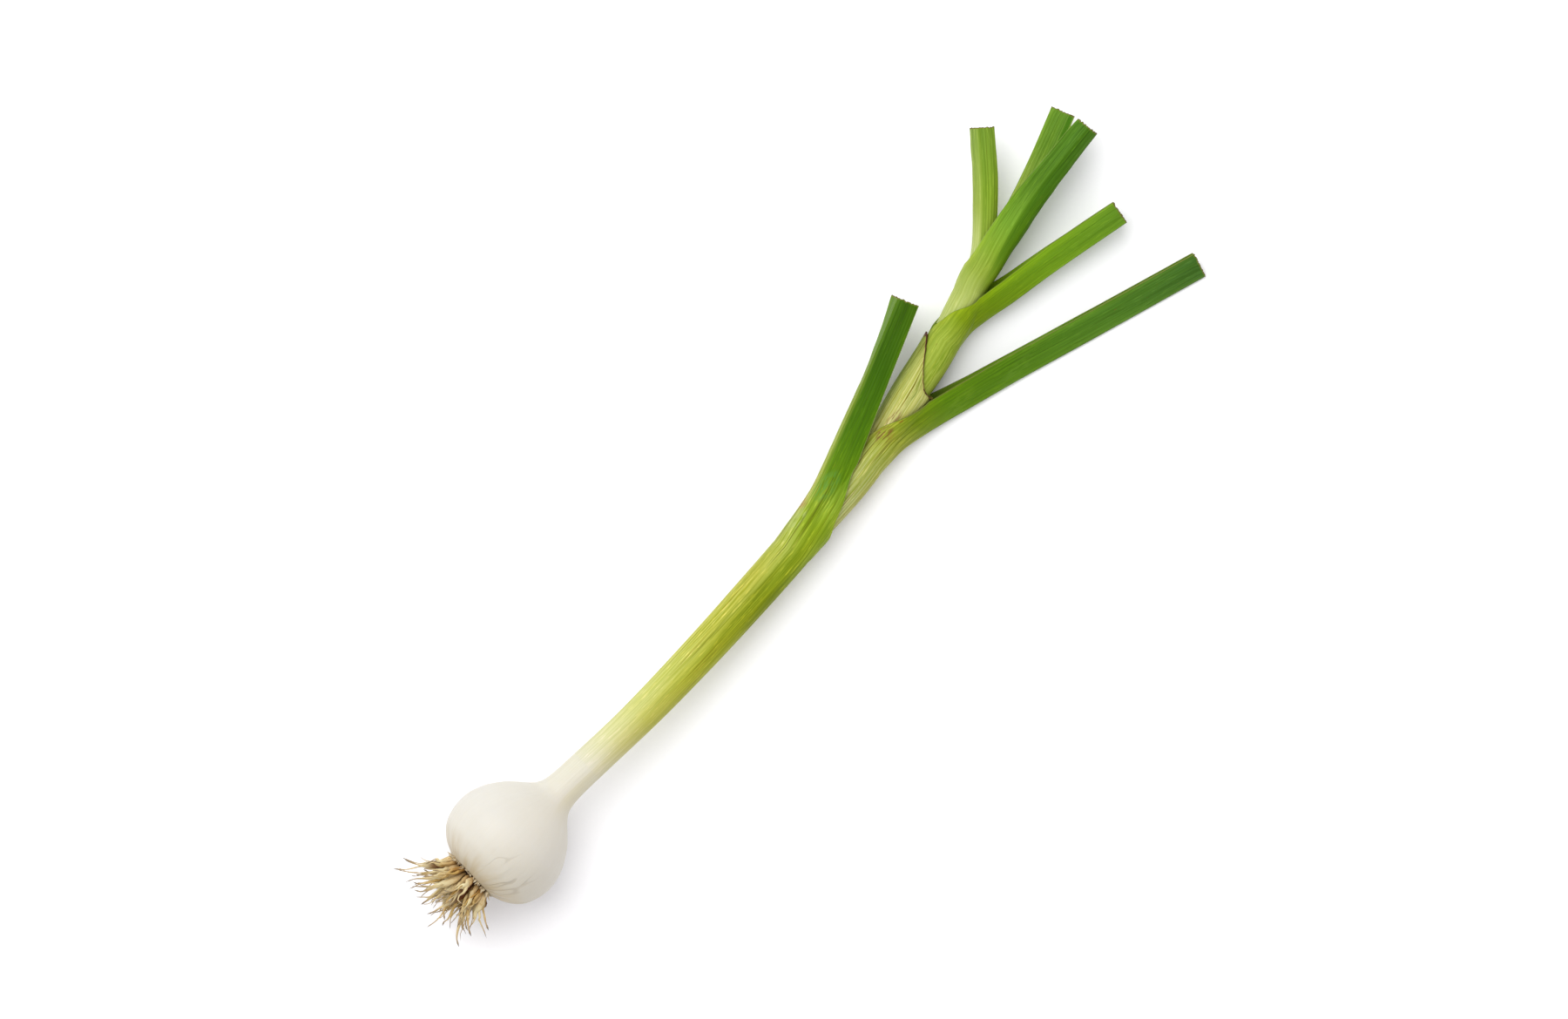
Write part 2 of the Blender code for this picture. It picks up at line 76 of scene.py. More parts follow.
def through(stations, values, at):
    """Values at the given stations, on a smooth curve through the known ones."""
    known = np.asarray(stations, float)
    rows = np.asarray(values, float)
    steps = np.diff(known)[:, None]
    slopes = np.diff(rows, axis=0) / steps
    tangents = np.empty_like(rows)
    tangents[0], tangents[-1] = slopes[0], slopes[-1]
    tangents[1:-1] = (slopes[:-1] * steps[1:] + slopes[1:] * steps[:-1]) / (steps[1:] + steps[:-1])
    at = np.clip(np.asarray(at, float), known[0], known[-1])
    span = np.clip(np.searchsorted(known, at, side="right") - 1, 0, len(known) - 2)
    width = (known[span + 1] - known[span])[:, None]
    t = (at - known[span])[:, None] / width
    return (
        (2 * t**3 - 3 * t**2 + 1) * rows[span]
        + (t**3 - 2 * t**2 + t) * width * tangents[span]
        + (3 * t**2 - 2 * t**3) * rows[span + 1]
        + (t**3 - t**2) * width * tangents[span + 1]
    )


# %% The line through the middle of the stem
STEM_AXIS = np.array([      # x along the plant, y to its left, z up
    (20.0, -2.3, 19.8), (36.0, -4.2, 18.6), (60.0, -7.0, 16.8), (90.0, -9.1, 14.6),
    (120.0, -10.3, 12.4), (150.0, -10.9, 10.1), (170.0, -11.1, 8.4), (190.0, -9.2, 7.1),
    (205.0, -7.3, 7.4), (220.0, -5.6, 8.0), (240.0, -1.6, 9.7), (254.0, 1.3, 11.5), (270.0, 3.2, 13.6),
])


def stem_middle(x):
    """The point of the stem's middle line at one x."""
    return np.array([x, *through(STEM_AXIS[:, 0], STEM_AXIS[:, 1:], [x])[0]])


print("the stem sinks from", stem_middle(36.0)[2], "to", stem_middle(190.0)[2], "mm above the table")

# %% [markdown]
# ## Seven leaves, one inside the next
#
# A garlic leaf starts as a closed tube, the sheath. At its mouth the tube splits on one side and the
# leaf opens into a folded blade with a keel along its back. So one leaf is one sheet, and its cross
# section tells everything: from the keel an arm leaves to each side, and each arm bends by some angle
# on its way to the margin. With a turn of 180 degrees the two arms meet and the section is a ring.
# With less turn it is a gutter, and with a fold at the keel it is a blade.
#
# The leaves below are listed from the outermost to the innermost, with the stations of their sheaths
# first and of their blades after that.

# %% What a leaf is made of
Tube = namedtuple("Tube", "x radius")       # inner radius of the sheath at one place
Blade = namedtuple("Blade", "x y z keel fold turn arm other flat", defaults=(0.0,))
Leaf = namedtuple("Leaf", "name keel tubes blades")

LEAVES = [
    Leaf("leaf_1", 52.0, [
        Tube(36.3, 5.45), Tube(50, 5.4), Tube(70, 5.65), Tube(95, 5.95), Tube(120, 6.2), Tube(138, 6.3),
    ], [
        Blade(144, -5.9, 16.3, 52, 6, 150, 14.2, 16.6),
        Blade(151, -4.9, 16.5, 52, 14, 112, 11.6, 13.0),
        Blade(160, -3.3, 16.6, 52, 26, 62, 10.8, 10.2),
        Blade(170, -0.7, 16.6, 52, 34, 30, 9.6, 9.0),
        Blade(182, 2.7, 16.5, 52, 38, 16, 8.8, 8.3),
        Blade(200, 7.7, 16.5, 52, 40, 12, 7.6, 7.7),
        Blade(214, 12.1, 17.0, 52, 40, 12, 7.3, 7.6, 6),
        Blade(228.8, 16.9, 17.5, 52, 40, 12, 7.2, 7.6, 24),
    ]),
    Leaf("leaf_2", 194.0, [
        Tube(126, 5.2), Tube(138, 5.2), Tube(150, 5.5), Tube(165, 5.8), Tube(179, 6.1),
    ], [
        Blade(184, -16.7, 6.2, 194, 6, 140, 15.8, 15.8),
        Blade(190, -17.3, 5.2, 194, 16, 104, 13.4, 13.4),
        Blade(197, -19.1, 4.2, 194, 30, 66, 12.4, 12.4),
        Blade(205, -21.7, 3.2, 194, 44, 36, 11.2, 11.6),
        Blade(216, -25.7, 2.2, 194, 54, 22, 10.1, 11.1),
        Blade(232, -31.5, 1.5, 194, 58, 18, 9.4, 10.7),
        Blade(260, -42.3, 1.1, 194, 60, 16, 9.1, 10.5),
        Blade(303.3, -58.8, 1.0, 194, 60, 16, 8.8, 10.2),
    ]),
    Leaf("leaf_3", 12.0, [
        Tube(167, 4.95), Tube(179, 4.95), Tube(190, 5.3), Tube(200, 5.9), Tube(212, 6.4),
        Tube(227, 6.4),
    ], []),
    Leaf("leaf_4", 196.0, [
        Tube(197, 4.75), Tube(208, 5.2), Tube(218, 5.45), Tube(227, 5.4),
    ], [
        Blade(231, -9.3, 6.5, 196, 8, 138, 13.6, 13.4),
        Blade(236, -9.3, 6.6, 196, 22, 92, 11.6, 11.9),
        Blade(242, -10.5, 7.0, 195, 34, 52, 10.6, 11.0),
        Blade(252, -13.3, 7.9, 193, 44, 28, 9.8, 10.9),
        Blade(268, -17.2, 9.1, 190, 48, 18, 9.3, 11.1),
        Blade(299.5, -25.9, 11.2, 188, 48, 16, 9.0, 10.9),
    ]),
    Leaf("leaf_5", 118.0, [
        Tube(215, 4.25), Tube(227, 4.3), Tube(238, 4.75), Tube(245, 4.9),
    ], [
        Blade(250, -1.4, 15.7, 116, 0, 164, 14.4, 11.6, 36),
        Blade(254, -0.9, 16.7, 114, 2, 140, 12.6, 8.8, 60),
        Blade(258, -0.2, 17.3, 112, 4, 112, 10.9, 7.8, 62),
        Blade(263, 0.9, 17.7, 108, 8, 88, 9.2, 7.2, 46),
        Blade(271, 2.4, 18.4, 102, 10, 68, 7.6, 6.8, 24),
        Blade(284, 4.1, 19.4, 98, 12, 52, 6.4, 6.2),
        Blade(300, 4.7, 20.6, 96, 12, 48, 5.2, 5.4),
        Blade(315.4, 5.0, 21.8, 96, 12, 46, 4.7, 4.6),
    ]),
    Leaf("leaf_6", 66.0, [
        Tube(236, 3.8), Tube(242, 3.85), Tube(247, 3.9),
    ], [
        Blade(251, 2.6, 14.5, 64, 4, 106, 7.5, 9.6, -28),
        Blade(255, 4.2, 14.5, 64, 8, 70, 5.4, 8.0, -26),
        Blade(260, 6.9, 14.3, 66, 14, 60, 5.1, 6.8, -8),
        Blade(267, 12.0, 14.3, 68, 18, 54, 5.5, 6.0),
        Blade(276, 19.4, 14.5, 70, 18, 46, 5.7, 5.4),
        Blade(291.3, 33.8, 15.3, 70, 18, 42, 5.5, 5.0),
    ]),
    Leaf("leaf_7", 238.0, [
        Tube(243, 2.8), Tube(251, 2.8),
    ], [
        Blade(255, 0.0, 8.0, 238, 6, 110, 6.4, 4.6, 14),
        Blade(264, 1.0, 8.4, 237, 22, 62, 6.2, 5.0),
        Blade(275, 2.6, 8.7, 236, 30, 30, 6.1, 5.6),
        Blade(295, 7.1, 9.6, 235, 32, 18, 6.3, 5.2),
        Blade(315.2, 12.6, 11.0, 235, 32, 16, 6.8, 4.8),
    ]),
]
print(len(LEAVES), "leaves; the longest runs from", LEAVES[0].tubes[0].x, "to", LEAVES[0].blades[-1].x)

# %% One ring of a sheath
WALL = 0.6          # a leaf's thickness at its keel
CLEARANCE = 0.3     # between one sheath and the next inside it
ARM_STEPS = 36      # faces from the keel of a leaf to each of its margins


def sheath_radius(leaf, x):
    """Inner radius of a leaf's sheath."""
    return through([tube.x for tube in leaf.tubes], [[tube.radius] for tube in leaf.tubes], [x])[0, 0]


def keel_rows(leaf):
    """All stations of a leaf in one list, with its sheath's rings written as sections that close."""
    rows = []
    for tube in leaf.tubes:
        y, z = stem_middle(tube.x)[1:]
        keel = math.radians(leaf.keel)
        half = math.pi * tube.radius
        y += tube.radius * math.cos(keel)
        z += tube.radius * math.sin(keel)
        rows.append(Blade(tube.x, y, z, leaf.keel, 0.0, 180.0, half, half))
    return np.array(rows + leaf.blades, float)


def cross_axes(rows, x):
    """Directions to the left and up, square to the way that a leaf runs at one place."""
    near = np.clip([x - 0.5, x + 0.5], rows[0, 0], rows[-1, 0])
    behind, ahead = through(rows[:, 0], rows[:, 1:3], near)
    way = Vector((near[1] - near[0], *(ahead - behind))).normalized()
    left = Vector((0, 0, 1)).cross(way).normalized()
    return np.array(way), np.array(left), np.array(way.cross(left))


def ring(leaf, x):
    """Points round the outside of a closed sheath, from one margin over the keel to the other."""
    way, left, up = cross_axes(keel_rows(leaf), x)
    angle = math.radians(leaf.keel) + math.pi * np.linspace(-1, 1, 2 * ARM_STEPS + 1)[:, None]
    radius = sheath_radius(leaf, x) + WALL
    return stem_middle(x) + radius * (np.cos(angle) * left + np.sin(angle) * up)


print("first sheath:", round(2 * (sheath_radius(LEAVES[0], 60) + WALL), 1), "mm thick at x = 60")

# %% [markdown]
# ## From ring to blade
#
# Past the mouth, a section is worked out from its two arms. The places are those of the inside of the
# sheet, as in the solids, so the outside lies one wall further out, square to the line of the section.
# Where the sheath of the next leaf is still inside, the sheet is pushed out to lie round it.

# %% One open section


def arm_line(fold, turn, width):
    """How far to the side and how far back the points of an arm lie, from the keel to the margin."""
    fine = 4
    count = ARM_STEPS * fine
    angles = np.radians(fold + turn * (np.arange(count) + 0.5) / count)
    side = np.append(0.0, np.cumsum(np.cos(angles))) * width / count
    back = np.append(0.0, np.cumsum(np.sin(angles))) * width / count
    return side[::fine, None], back[::fine, None]


def round_inner(points, inner):
    """Push points that would stand in the sheath inside this leaf out to its surface."""
    if inner is None:
        return points
    for point in points:
        if not inner.tubes[0].x <= point[0] <= inner.tubes[-1].x:
            continue
        middle = stem_middle(point[0])
        needed = sheath_radius(inner, point[0]) + WALL + 2 * CLEARANCE
        distance = np.linalg.norm(point - middle)
        if distance < needed:
            point[:] = middle + (point - middle) * needed / distance
    return points


def outwards(points, way):
    """Unit vectors that stand out from a section, square to its line and to the leaf's own way."""
    across = np.cross(np.gradient(points, axis=0), way)
    return across / np.linalg.norm(across, axis=1, keepdims=True)


def open_section(leaf, inner, x):
    """Points across the outside of an opened leaf, from one margin over the keel to the other."""
    rows = keel_rows(leaf)
    row = Blade(x, *through(rows[:, 0], rows[:, 1:], [x])[0])
    way, left, up = cross_axes(rows, x)
    keel = math.radians(row.keel)
    out = left * math.cos(keel) + up * math.sin(keel)
    side = up * math.cos(keel) - left * math.sin(keel)
    middle = np.array([row.x, row.y, row.z])
    one_side, one_back = arm_line(row.fold, row.turn, row.arm)
    two_side, two_back = arm_line(row.fold, row.turn - row.flat, row.other)
    first = middle + side * one_side - out * one_back
    second = middle - side * two_side - out * two_back
    inside = round_inner(np.concatenate([second[:0:-1], first]), inner)
    inside[:, 2] = np.maximum(inside[:, 2], WALL)
    return inside + WALL * outwards(inside, way)


wide = open_section(LEAVES[1], LEAVES[2], 260.0)
print("second blade:", round(float(np.ptp(wide[:, 1])), 1), "mm across, seen from above")

# %% [markdown]
# ## The fine surface of a leaf
#
# On the real plant the sheet isn't perfectly smooth. Fine ribs run along it, its margins wave a
# little, and the knife left its ends slightly ragged. All three are small moves of the section's
# points. The cut mouth of the third leaf is another such move: its rings slide back, the further from
# the keel the more, so that the mouth slants.

# %% Ribs, waves and cut ends
CUT_MOUTH_START, CUT_MOUTH_LOW, CUT_MOUTH_END = 195.0, 208.0, 227.0
CUT_MOUTH_POWER, CUT_MOUTH_ROUGHNESS = 2.2, 0.5
RIB_SPACING, RIB_HEIGHT = 1.1, 0.035
WAVE_HEIGHT = 0.28                  # of a margin
SLOW_WAVE, QUICK_WAVE = 11, 4       # their lengths along the leaf
RAGGED_LENGTH = 3.0                 # how far up a blade the knife's roughness reaches
COARSE_STEP, FINE_STEP = 0.45, 0.22
SHARE = np.linspace(-1, 1, 2 * ARM_STEPS + 1)   # across a leaf: margin, keel, margin


def slanted(points, x):
    """A ring near the third leaf's mouth, slid back along the stem away from its keel."""
    late = max(0.0, (x - CUT_MOUTH_START) / (CUT_MOUTH_END - CUT_MOUTH_START))
    moved = []
    for share, point in zip(SHARE, points):
        turn = math.pi * share
        reach = ((1 + math.cos(turn)) / 2) ** CUT_MOUTH_POWER
        ragged = CUT_MOUTH_ROUGHNESS * noise.noise(Vector((9 * math.cos(turn), 9 * math.sin(turn), 4)))
        mouth = CUT_MOUTH_LOW + (CUT_MOUTH_END - CUT_MOUTH_LOW) * reach + ragged
        shift = (mouth - CUT_MOUTH_END) * late**2
        moved.append(point + stem_middle(point[0] + shift) - stem_middle(point[0]))
    return np.array(moved)


def from_keel(points):
    """Signed distances of a section's points from its keel, along the section."""
    steps = np.linalg.norm(np.diff(points, axis=-2), axis=-1)
    start = np.zeros(steps.shape[:-1] + (1,))
    lengths = np.concatenate([start, np.cumsum(steps, axis=-1)], axis=-1)
    return lengths - lengths[..., ARM_STEPS:ARM_STEPS + 1]


def relief(leaf, points, way, x, openness):
    """Move a section's points a little in and out: ribs along the leaf, waves at its margins."""
    ribs = RIB_HEIGHT * openness * np.cos(FULL_TURN * from_keel(points) / RIB_SPACING)
    waves = [
        noise.noise(Vector((x / SLOW_WAVE, 1.3 * share, leaf.keel)))
        + 0.4 * noise.noise(Vector((x / QUICK_WAVE, 3 * share, leaf.keel)))
        for share in SHARE
    ]
    amount = ribs + WAVE_HEIGHT * openness * np.abs(SHARE) ** 1.5 * np.array(waves)
    return points + outwards(points, way) * amount[:, None]


def ragged_end(leaf, points, x, way):
    """Slide the last few millimetres of a blade along it by small random steps."""
    near = max(0.0, 1 - (leaf.blades[-1].x - x) / RAGGED_LENGTH)
    steps = [
        COARSE_STEP * noise.noise(Vector((7 * share, leaf.keel, 2)))
        + FINE_STEP * noise.noise(Vector((23 * share, leaf.keel, 5)))
        for share in SHARE
    ]
    return points + way * (near * (np.array(steps) - 0.25))[:, None]


# %% A whole leaf as rows of points
ROW_STEP = 1.5      # between sections along a sheath or blade
MOUTH_STEP = 0.8    # between sections where a sheath opens
FREED_LENGTH = 14.0     # past its mouth a leaf is fully open
TABLE_GAP = 0.02    # keeps leaves and bulb just clear of the table


def row_places(leaf):
    """x of every section of a leaf: rings up to the mouth, then the opening, then the blade."""
    start, mouth = leaf.tubes[0].x, leaf.tubes[-1].x
    closed = np.linspace(start, mouth, round((mouth - start) / ROW_STEP) + 1)
    if not leaf.blades:
        return closed, np.array([])
    opened, end = leaf.blades[2].x, leaf.blades[-1].x
    near = np.linspace(mouth, opened, round((opened - mouth) / MOUTH_STEP) + 1)
    far = np.linspace(opened, end, round((end - opened) / ROW_STEP) + 1)
    return closed, np.concatenate([near[1:], far[1:]])


def leaf_points(leaf, inner):
    """Rows of points on a leaf's outside, how far each has opened (0 to 1), and how many are closed."""
    rows = keel_rows(leaf)
    closed, opened = row_places(leaf)
    points, openness = [], []
    for x in closed:
        line = ring(leaf, x)
        if not leaf.blades:
            line = slanted(line, x)
        points.append(line)
        openness.append(0.0)
    for x in opened:
        way = cross_axes(rows, x)[0]
        freed = min(1.0, (x - leaf.tubes[-1].x) / FREED_LENGTH)
        line = relief(leaf, open_section(leaf, inner, x), way, x, freed)
        points.append(ragged_end(leaf, line, x, way))
        openness.append(freed)
    points = np.array(points)
    points[:, :, 2] = np.maximum(points[:, :, 2], TABLE_GAP)
    return points, np.array(openness), len(closed)


print("first leaf:", len(leaf_points(LEAVES[0], LEAVES[1])[0]), "sections of", len(SHARE), "points")

# %% [markdown]
# ## Sewing the sheet
#
# Blender's grid operator lays a flat sheet of faces. Its corners are then moved to the points worked
# out above, and a merge by distance sews the seam of the sheath, where both margins lie on the same
# line. A Solidify modifier gives the sheet its wall, inwards, with a vertex group that thins it
# towards the margins. The sheet also remembers where its points lie, in attributes that the finish
# reads later: the grain (along the leaf and round it), the distances to keel, margin and cut end,
# and which arm a point is on.

# %% Helpers that make a piece
GRAIN_RADIUS = 6    # the grain is kept as places on a cylinder, so that it closes round a sheath


def grain_at(x, turn):
    """The grain at a place along the plant and a turn away from the keel."""
    return x, GRAIN_RADIUS * math.sin(turn), GRAIN_RADIUS * math.cos(turn)


def sew(built):
    """Merge the points that lie on one another."""
    bmesh.ops.remove_doubles(built, verts=built.verts, dist=0.01 * MM)


def bent_grid(built, points):
    """Lay a grid and move each of its corners to its place in these rows of points (mm)."""
    rows, columns = points.shape[:2]
    laid = bmesh.ops.create_grid(built, x_segments=rows - 1, y_segments=columns - 1, size=0.5)
    placed = []
    for corner in laid["verts"]:
        i = round((corner.co.x + 0.5) * (rows - 1))
        j = round((corner.co.y + 0.5) * (columns - 1))
        corner.co = Vector(points[i, j]) * MM
        placed.append((corner, i, j))
    return placed


def add_piece(built, name):
    """Turn a finished bmesh into a smooth object at the origin; edges marked sharp stay sharp."""
    for face in built.faces:
        face.smooth = True
    mesh = bpy.data.meshes.new(name)
    built.to_mesh(mesh)
    built.free()
    piece = bpy.data.objects.new(name, mesh)
    bpy.context.scene.collection.objects.link(piece)
    return piece


# %% Sew one leaf
FAR = 50.0                  # stands for "nowhere near an edge"
MARGIN_THINNER = 0.4        # the share of its wall that a blade loses towards its margins
CUT_THINNER, CUT_TAPER = 0.25, 1.5      # the same for a cut end, over this length


def margin_distances(across, closed):
    """Distance of every point from its leaf's margin; far away on a closed sheath."""
    distance = np.minimum(across - across[:, :1], across[:, -1:] - across)
    distance[:closed] = FAR
    return distance


def cut_distances(points):
    """Distance of every point from the end of its leaf, along the leaf."""
    steps = np.linalg.norm(np.diff(points, axis=0), axis=2)
    return np.concatenate([np.cumsum(steps[::-1], axis=0)[::-1], np.zeros((1, points.shape[1]))])


def sew_leaf(leaf, inner):
    """The sheet of one leaf with its grain and distances, before it gets its wall."""
    points, openness, closed = leaf_points(leaf, inner)
    across = from_keel(points)
    margin = margin_distances(across, closed)
    cut = cut_distances(points)
    round_by = [np.pi / across[min(i, closed - 1), -1] for i in range(len(points))]
    built = bmesh.new()
    grain = built.verts.layers.float_vector.new("grain")
    edges = built.verts.layers.float_vector.new("edges")
    side = built.verts.layers.float.new("side")
    weights = built.verts.layers.deform.verify()
    for corner, i, j in bent_grid(built, points):
        share, opened = SHARE[j], openness[i]
        turn = across[i, j] * round_by[i]
        corner[grain] = grain_at(points[i, j, 0], turn)
        corner[edges] = (abs(across[i, j]), margin[i, j], cut[i, j])
        corner[side] = (1 - opened) * math.sin(turn) + opened * min(1.0, 0.5 + 5 * share)
        whole = 1 - CUT_THINNER + CUT_THINNER * min(1.0, cut[i, j] / CUT_TAPER)
        corner[weights][0] = (1 - MARGIN_THINNER * opened * abs(share) ** 3) * whole
    bmesh.ops.reverse_faces(built, faces=built.faces)
    sew(built)
    for edge in built.edges:
        edge.smooth = not edge.is_boundary
    return built


def make_leaf(leaf, inner):
    """One leaf with its wall, standing for its solid."""
    piece = add_piece(sew_leaf(leaf, inner), leaf.name + "_skin")
    piece.vertex_groups.new(name="thickness")
    wall = piece.modifiers.new("wall", "SOLIDIFY")
    wall.thickness = WALL * MM
    wall.offset = -1.0
    wall.vertex_group = "thickness"
    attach(piece, "root")
    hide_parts(leaf.name)
    return piece


leaf_pieces = {}
for leaf, inner in zip(LEAVES, LEAVES[1:] + [None]):
    leaf_pieces[leaf.name] = piece = make_leaf(leaf, inner)
    solid_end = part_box(leaf.name)[1].x / MM
    print(leaf.name, len(piece.data.polygons), "faces; its solid ends at x =", round(solid_end, 1))

# %% [markdown]
# ## The heart of the plant
#
# Inside the innermost sheath the next leaf is still a bud. It hardly shows, but without it one could
# look down into an empty tube. A short tapered bud closes it: a cone with a domed end is all it needs.

# %% Close the innermost sheath
BUD_START, BUD_END = LEAVES[-1].tubes[0].x + 0.5, 252.5
BUD_RADIUS, BUD_ROWS, BUD_SIDES = 2.55, 14, 24
BUD_SHOULDER = 0.45     # the share of its length after which it rounds off
bud = bmesh.new()
bud_grain = bud.verts.layers.float_vector.new("grain")
bud_turns = np.linspace(0, FULL_TURN, BUD_SIDES + 1)[:, None]
bud_rows = []
for share in np.linspace(0, 1, BUD_ROWS):
    x = BUD_START + share * (BUD_END - BUD_START)
    _, left, up = cross_axes(keel_rows(LEAVES[-1]), x)
    rounding = max(0.0, (share - BUD_SHOULDER) / (1 - BUD_SHOULDER))
    radius = BUD_RADIUS * math.sqrt(max(0.0, 1 - rounding**2))
    bud_rows.append(stem_middle(x) + radius * (np.cos(bud_turns) * left + np.sin(bud_turns) * up))
for corner, _, j in bent_grid(bud, np.array(bud_rows)):
    corner[bud_grain] = grain_at(corner.co.x / MM, FULL_TURN * j / BUD_SIDES)
sew(bud)
bmesh.ops.holes_fill(bud, edges=[edge for edge in bud.edges if edge.is_boundary], sides=0)
bmesh.ops.recalc_face_normals(bud, faces=bud.faces)
inner_bud = add_piece(bud, "inner_bud")
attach(inner_bud, "root")
print("inner bud:", len(inner_bud.data.polygons), "faces")

# %% [markdown]
# ## The bulb
#
# The bulb is turned: a lathe would make it from one profile, and so does the spin operator, which
# carries a line of edges round the axis. A real bulb is never quite round, so its points are then
# moved a little. Broad swellings run from the root end to the neck, and close to the roots the skin is
# drawn into fine wrinkles. At the other end the neck turns into the first sheath. On the plant that
# is one skin, so the last ring of the neck takes exactly the places of the sheath's first ring.

# %% Turn the bulb
PLATE_POINT = Vector((-17.5, 1.95, 22.45))   # middle of the root end
BULB_HEADING = math.radians(-6.5)
BULB_PITCH = math.radians(4.1)
BULB_PROFILE = [    # distance from the root end, and radius
    (0.0, 9.9), (0.6, 11.3), (1.9, 14.3), (3.5, 16.6), (5.0, 18.2), (7.2, 19.8), (10.0, 20.9),
    (13.0, 21.6), (16.0, 21.8), (19.0, 21.5), (22.0, 20.6), (25.0, 19.3), (28.0, 17.4), (31.0, 15.1),
    (34.0, 12.0), (36.0, 9.8), (38.0, 8.0), (40.0, 7.0), (43.0, 6.4), (47.0, 6.15), (53.8, 6.05),
]
ROOT_DIP = [(2.4, 0.0), (2.4, 9.2), (0.9, 9.35), (0.25, 9.5)]     # the same, where the roots stand
EVEN_RADIUS = 9.6               # within it nothing swells or folds: not the dip, and not the neck
SWELL_HEIGHT = 0.35
FOLD_HEIGHT, FOLD_DEPTH, WRINKLE_HEIGHT = 0.34, 0.26, 0.16
PROFILE_ROWS = 96
BULB_STEPS = 4 * ARM_STEPS      # round the bulb: two for each step round the first sheath
bulb_frame = (
    Matrix.Translation(PLATE_POINT)
    @ Matrix.Rotation(BULB_HEADING, 4, "Z")
    @ Matrix.Rotation(math.pi / 2 + BULB_PITCH, 4, "Y")
)


def bulb_outline():
    """The profile read from a smooth curve, by its own length, with the dip round the root plate."""
    known = np.array(BULB_PROFILE)
    length = np.append(0.0, np.cumsum(np.linalg.norm(np.diff(known, axis=0), axis=1)))
    outline = through(length, known, np.linspace(0, length[-1], PROFILE_ROWS))
    return np.concatenate([ROOT_DIP, outline])


def bulb_relief(turn, along, radius):
    """How far the skin stands out from the turned shape, at a turn round it and a place along it."""
    around = Vector((math.cos(turn), math.sin(turn), 0))
    body = math.exp(-(((along - 16) / 15) ** 2))
    swell = SWELL_HEIGHT * noise.noise(around * 1.4 + Vector((0, 0, along / 30))) * body
    shady = 0.5 - 0.5 * math.sin(turn + 0.5)
    pucker = math.exp(-max(0.0, along - 1.0) / (3.0 + 5.0 * shady)) * (0.45 + 0.55 * shady)
    folds = 1 - 2 * abs(noise.noise(around * 6.5 + Vector((0, 0, along / 22))))
    fine = noise.noise(around * 17 + Vector((0, 0, along / 9)))
    return swell + pucker * (FOLD_HEIGHT * folds - FOLD_DEPTH + WRINKLE_HEIGHT * fine)


def turned(built, profile, side, steps):
    """Carry a profile of heights and radii (mm) once round the Z axis, like work on a lathe."""
    line = [built.verts.new((side * radius + Vector((0, 0, along))) * MM) for along, radius in profile]
    edges = [built.edges.new(pair) for pair in zip(line, line[1:])]
    bmesh.ops.spin(
        built, geom=line + edges, axis=(0, 0, 1), cent=(0, 0, 0), steps=steps, angle=FULL_TURN,
        use_merge=True, use_duplicate=False,
    )
    sew(built)


# %% Shape the bulb's skin
KEEL = math.radians(LEAVES[0].keel)
bulb_mesh = bmesh.new()
bulb_grain = bulb_mesh.verts.layers.float_vector.new("grain")
bulb_side = bulb_mesh.verts.layers.float.new("side")
bulb_edges = bulb_mesh.verts.layers.float_vector.new("edges")
turned(bulb_mesh, bulb_outline(), Vector((-math.sin(KEEL), math.cos(KEEL), 0)), BULB_STEPS)
neck_edges = [edge for edge in bulb_mesh.edges if edge.is_boundary]
neck_corners = {corner for edge in neck_edges for corner in edge.verts}
foot = ring(LEAVES[0], LEAVES[0].tubes[0].x)
for corner in bulb_mesh.verts:
    along, radius = corner.co.z / MM, Vector(corner.co.xy).length / MM
    # the bulb's frame has its own X pointing down and its Y to the left
    turn = math.atan2(-corner.co.x, corner.co.y)
    share = ((turn - KEEL) / math.pi + 1) % 2 - 1
    corner[bulb_side] = math.sin(math.pi * share)
    if corner in neck_corners:
        step = round((share + 1) * BULB_STEPS / 2) % BULB_STEPS
        place = (foot[step // 2] + foot[(step + 1) // 2]) / 2
    else:
        if radius > EVEN_RADIUS:
            swollen = (radius + bulb_relief(turn, along, radius)) / radius
            corner.co.xy = corner.co.xy * swollen
        place = bulb_frame @ (corner.co / MM)
    corner.co = Vector(place) * MM
    corner.co.z = max(corner.co.z, TABLE_GAP * MM)
    corner[bulb_grain] = grain_at(corner.co.x / MM, math.pi * share)
    corner[bulb_edges] = (along, FAR, FAR)
bmesh.ops.holes_fill(bulb_mesh, edges=neck_edges, sides=0)
for edge in neck_edges:
    edge.smooth = False
bmesh.ops.recalc_face_normals(bulb_mesh, faces=bulb_mesh.faces)
bulb_skin = add_piece(bulb_mesh, "bulb_skin")
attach(bulb_skin, "root")
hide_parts("bulb")
print("bulb:", len(bulb_skin.data.polygons), "faces")

# %% [markdown]
# ## Dry roots on a brown plate
#
# The roots grow from a round plate at the bottom of the bulb. They are dry and flattened, thick where
# they leave the plate and thin and hooked at their tips, and there are far too many to place by hand.
# A rule places them: like the florets of a sunflower, each is turned on from the last by the golden
# angle, so they fill the plate evenly. A seeded random draw bends each one. Every strand is a small
# grid rolled up round its line, sewn like the sheaths, with its ends drawn together to a point.

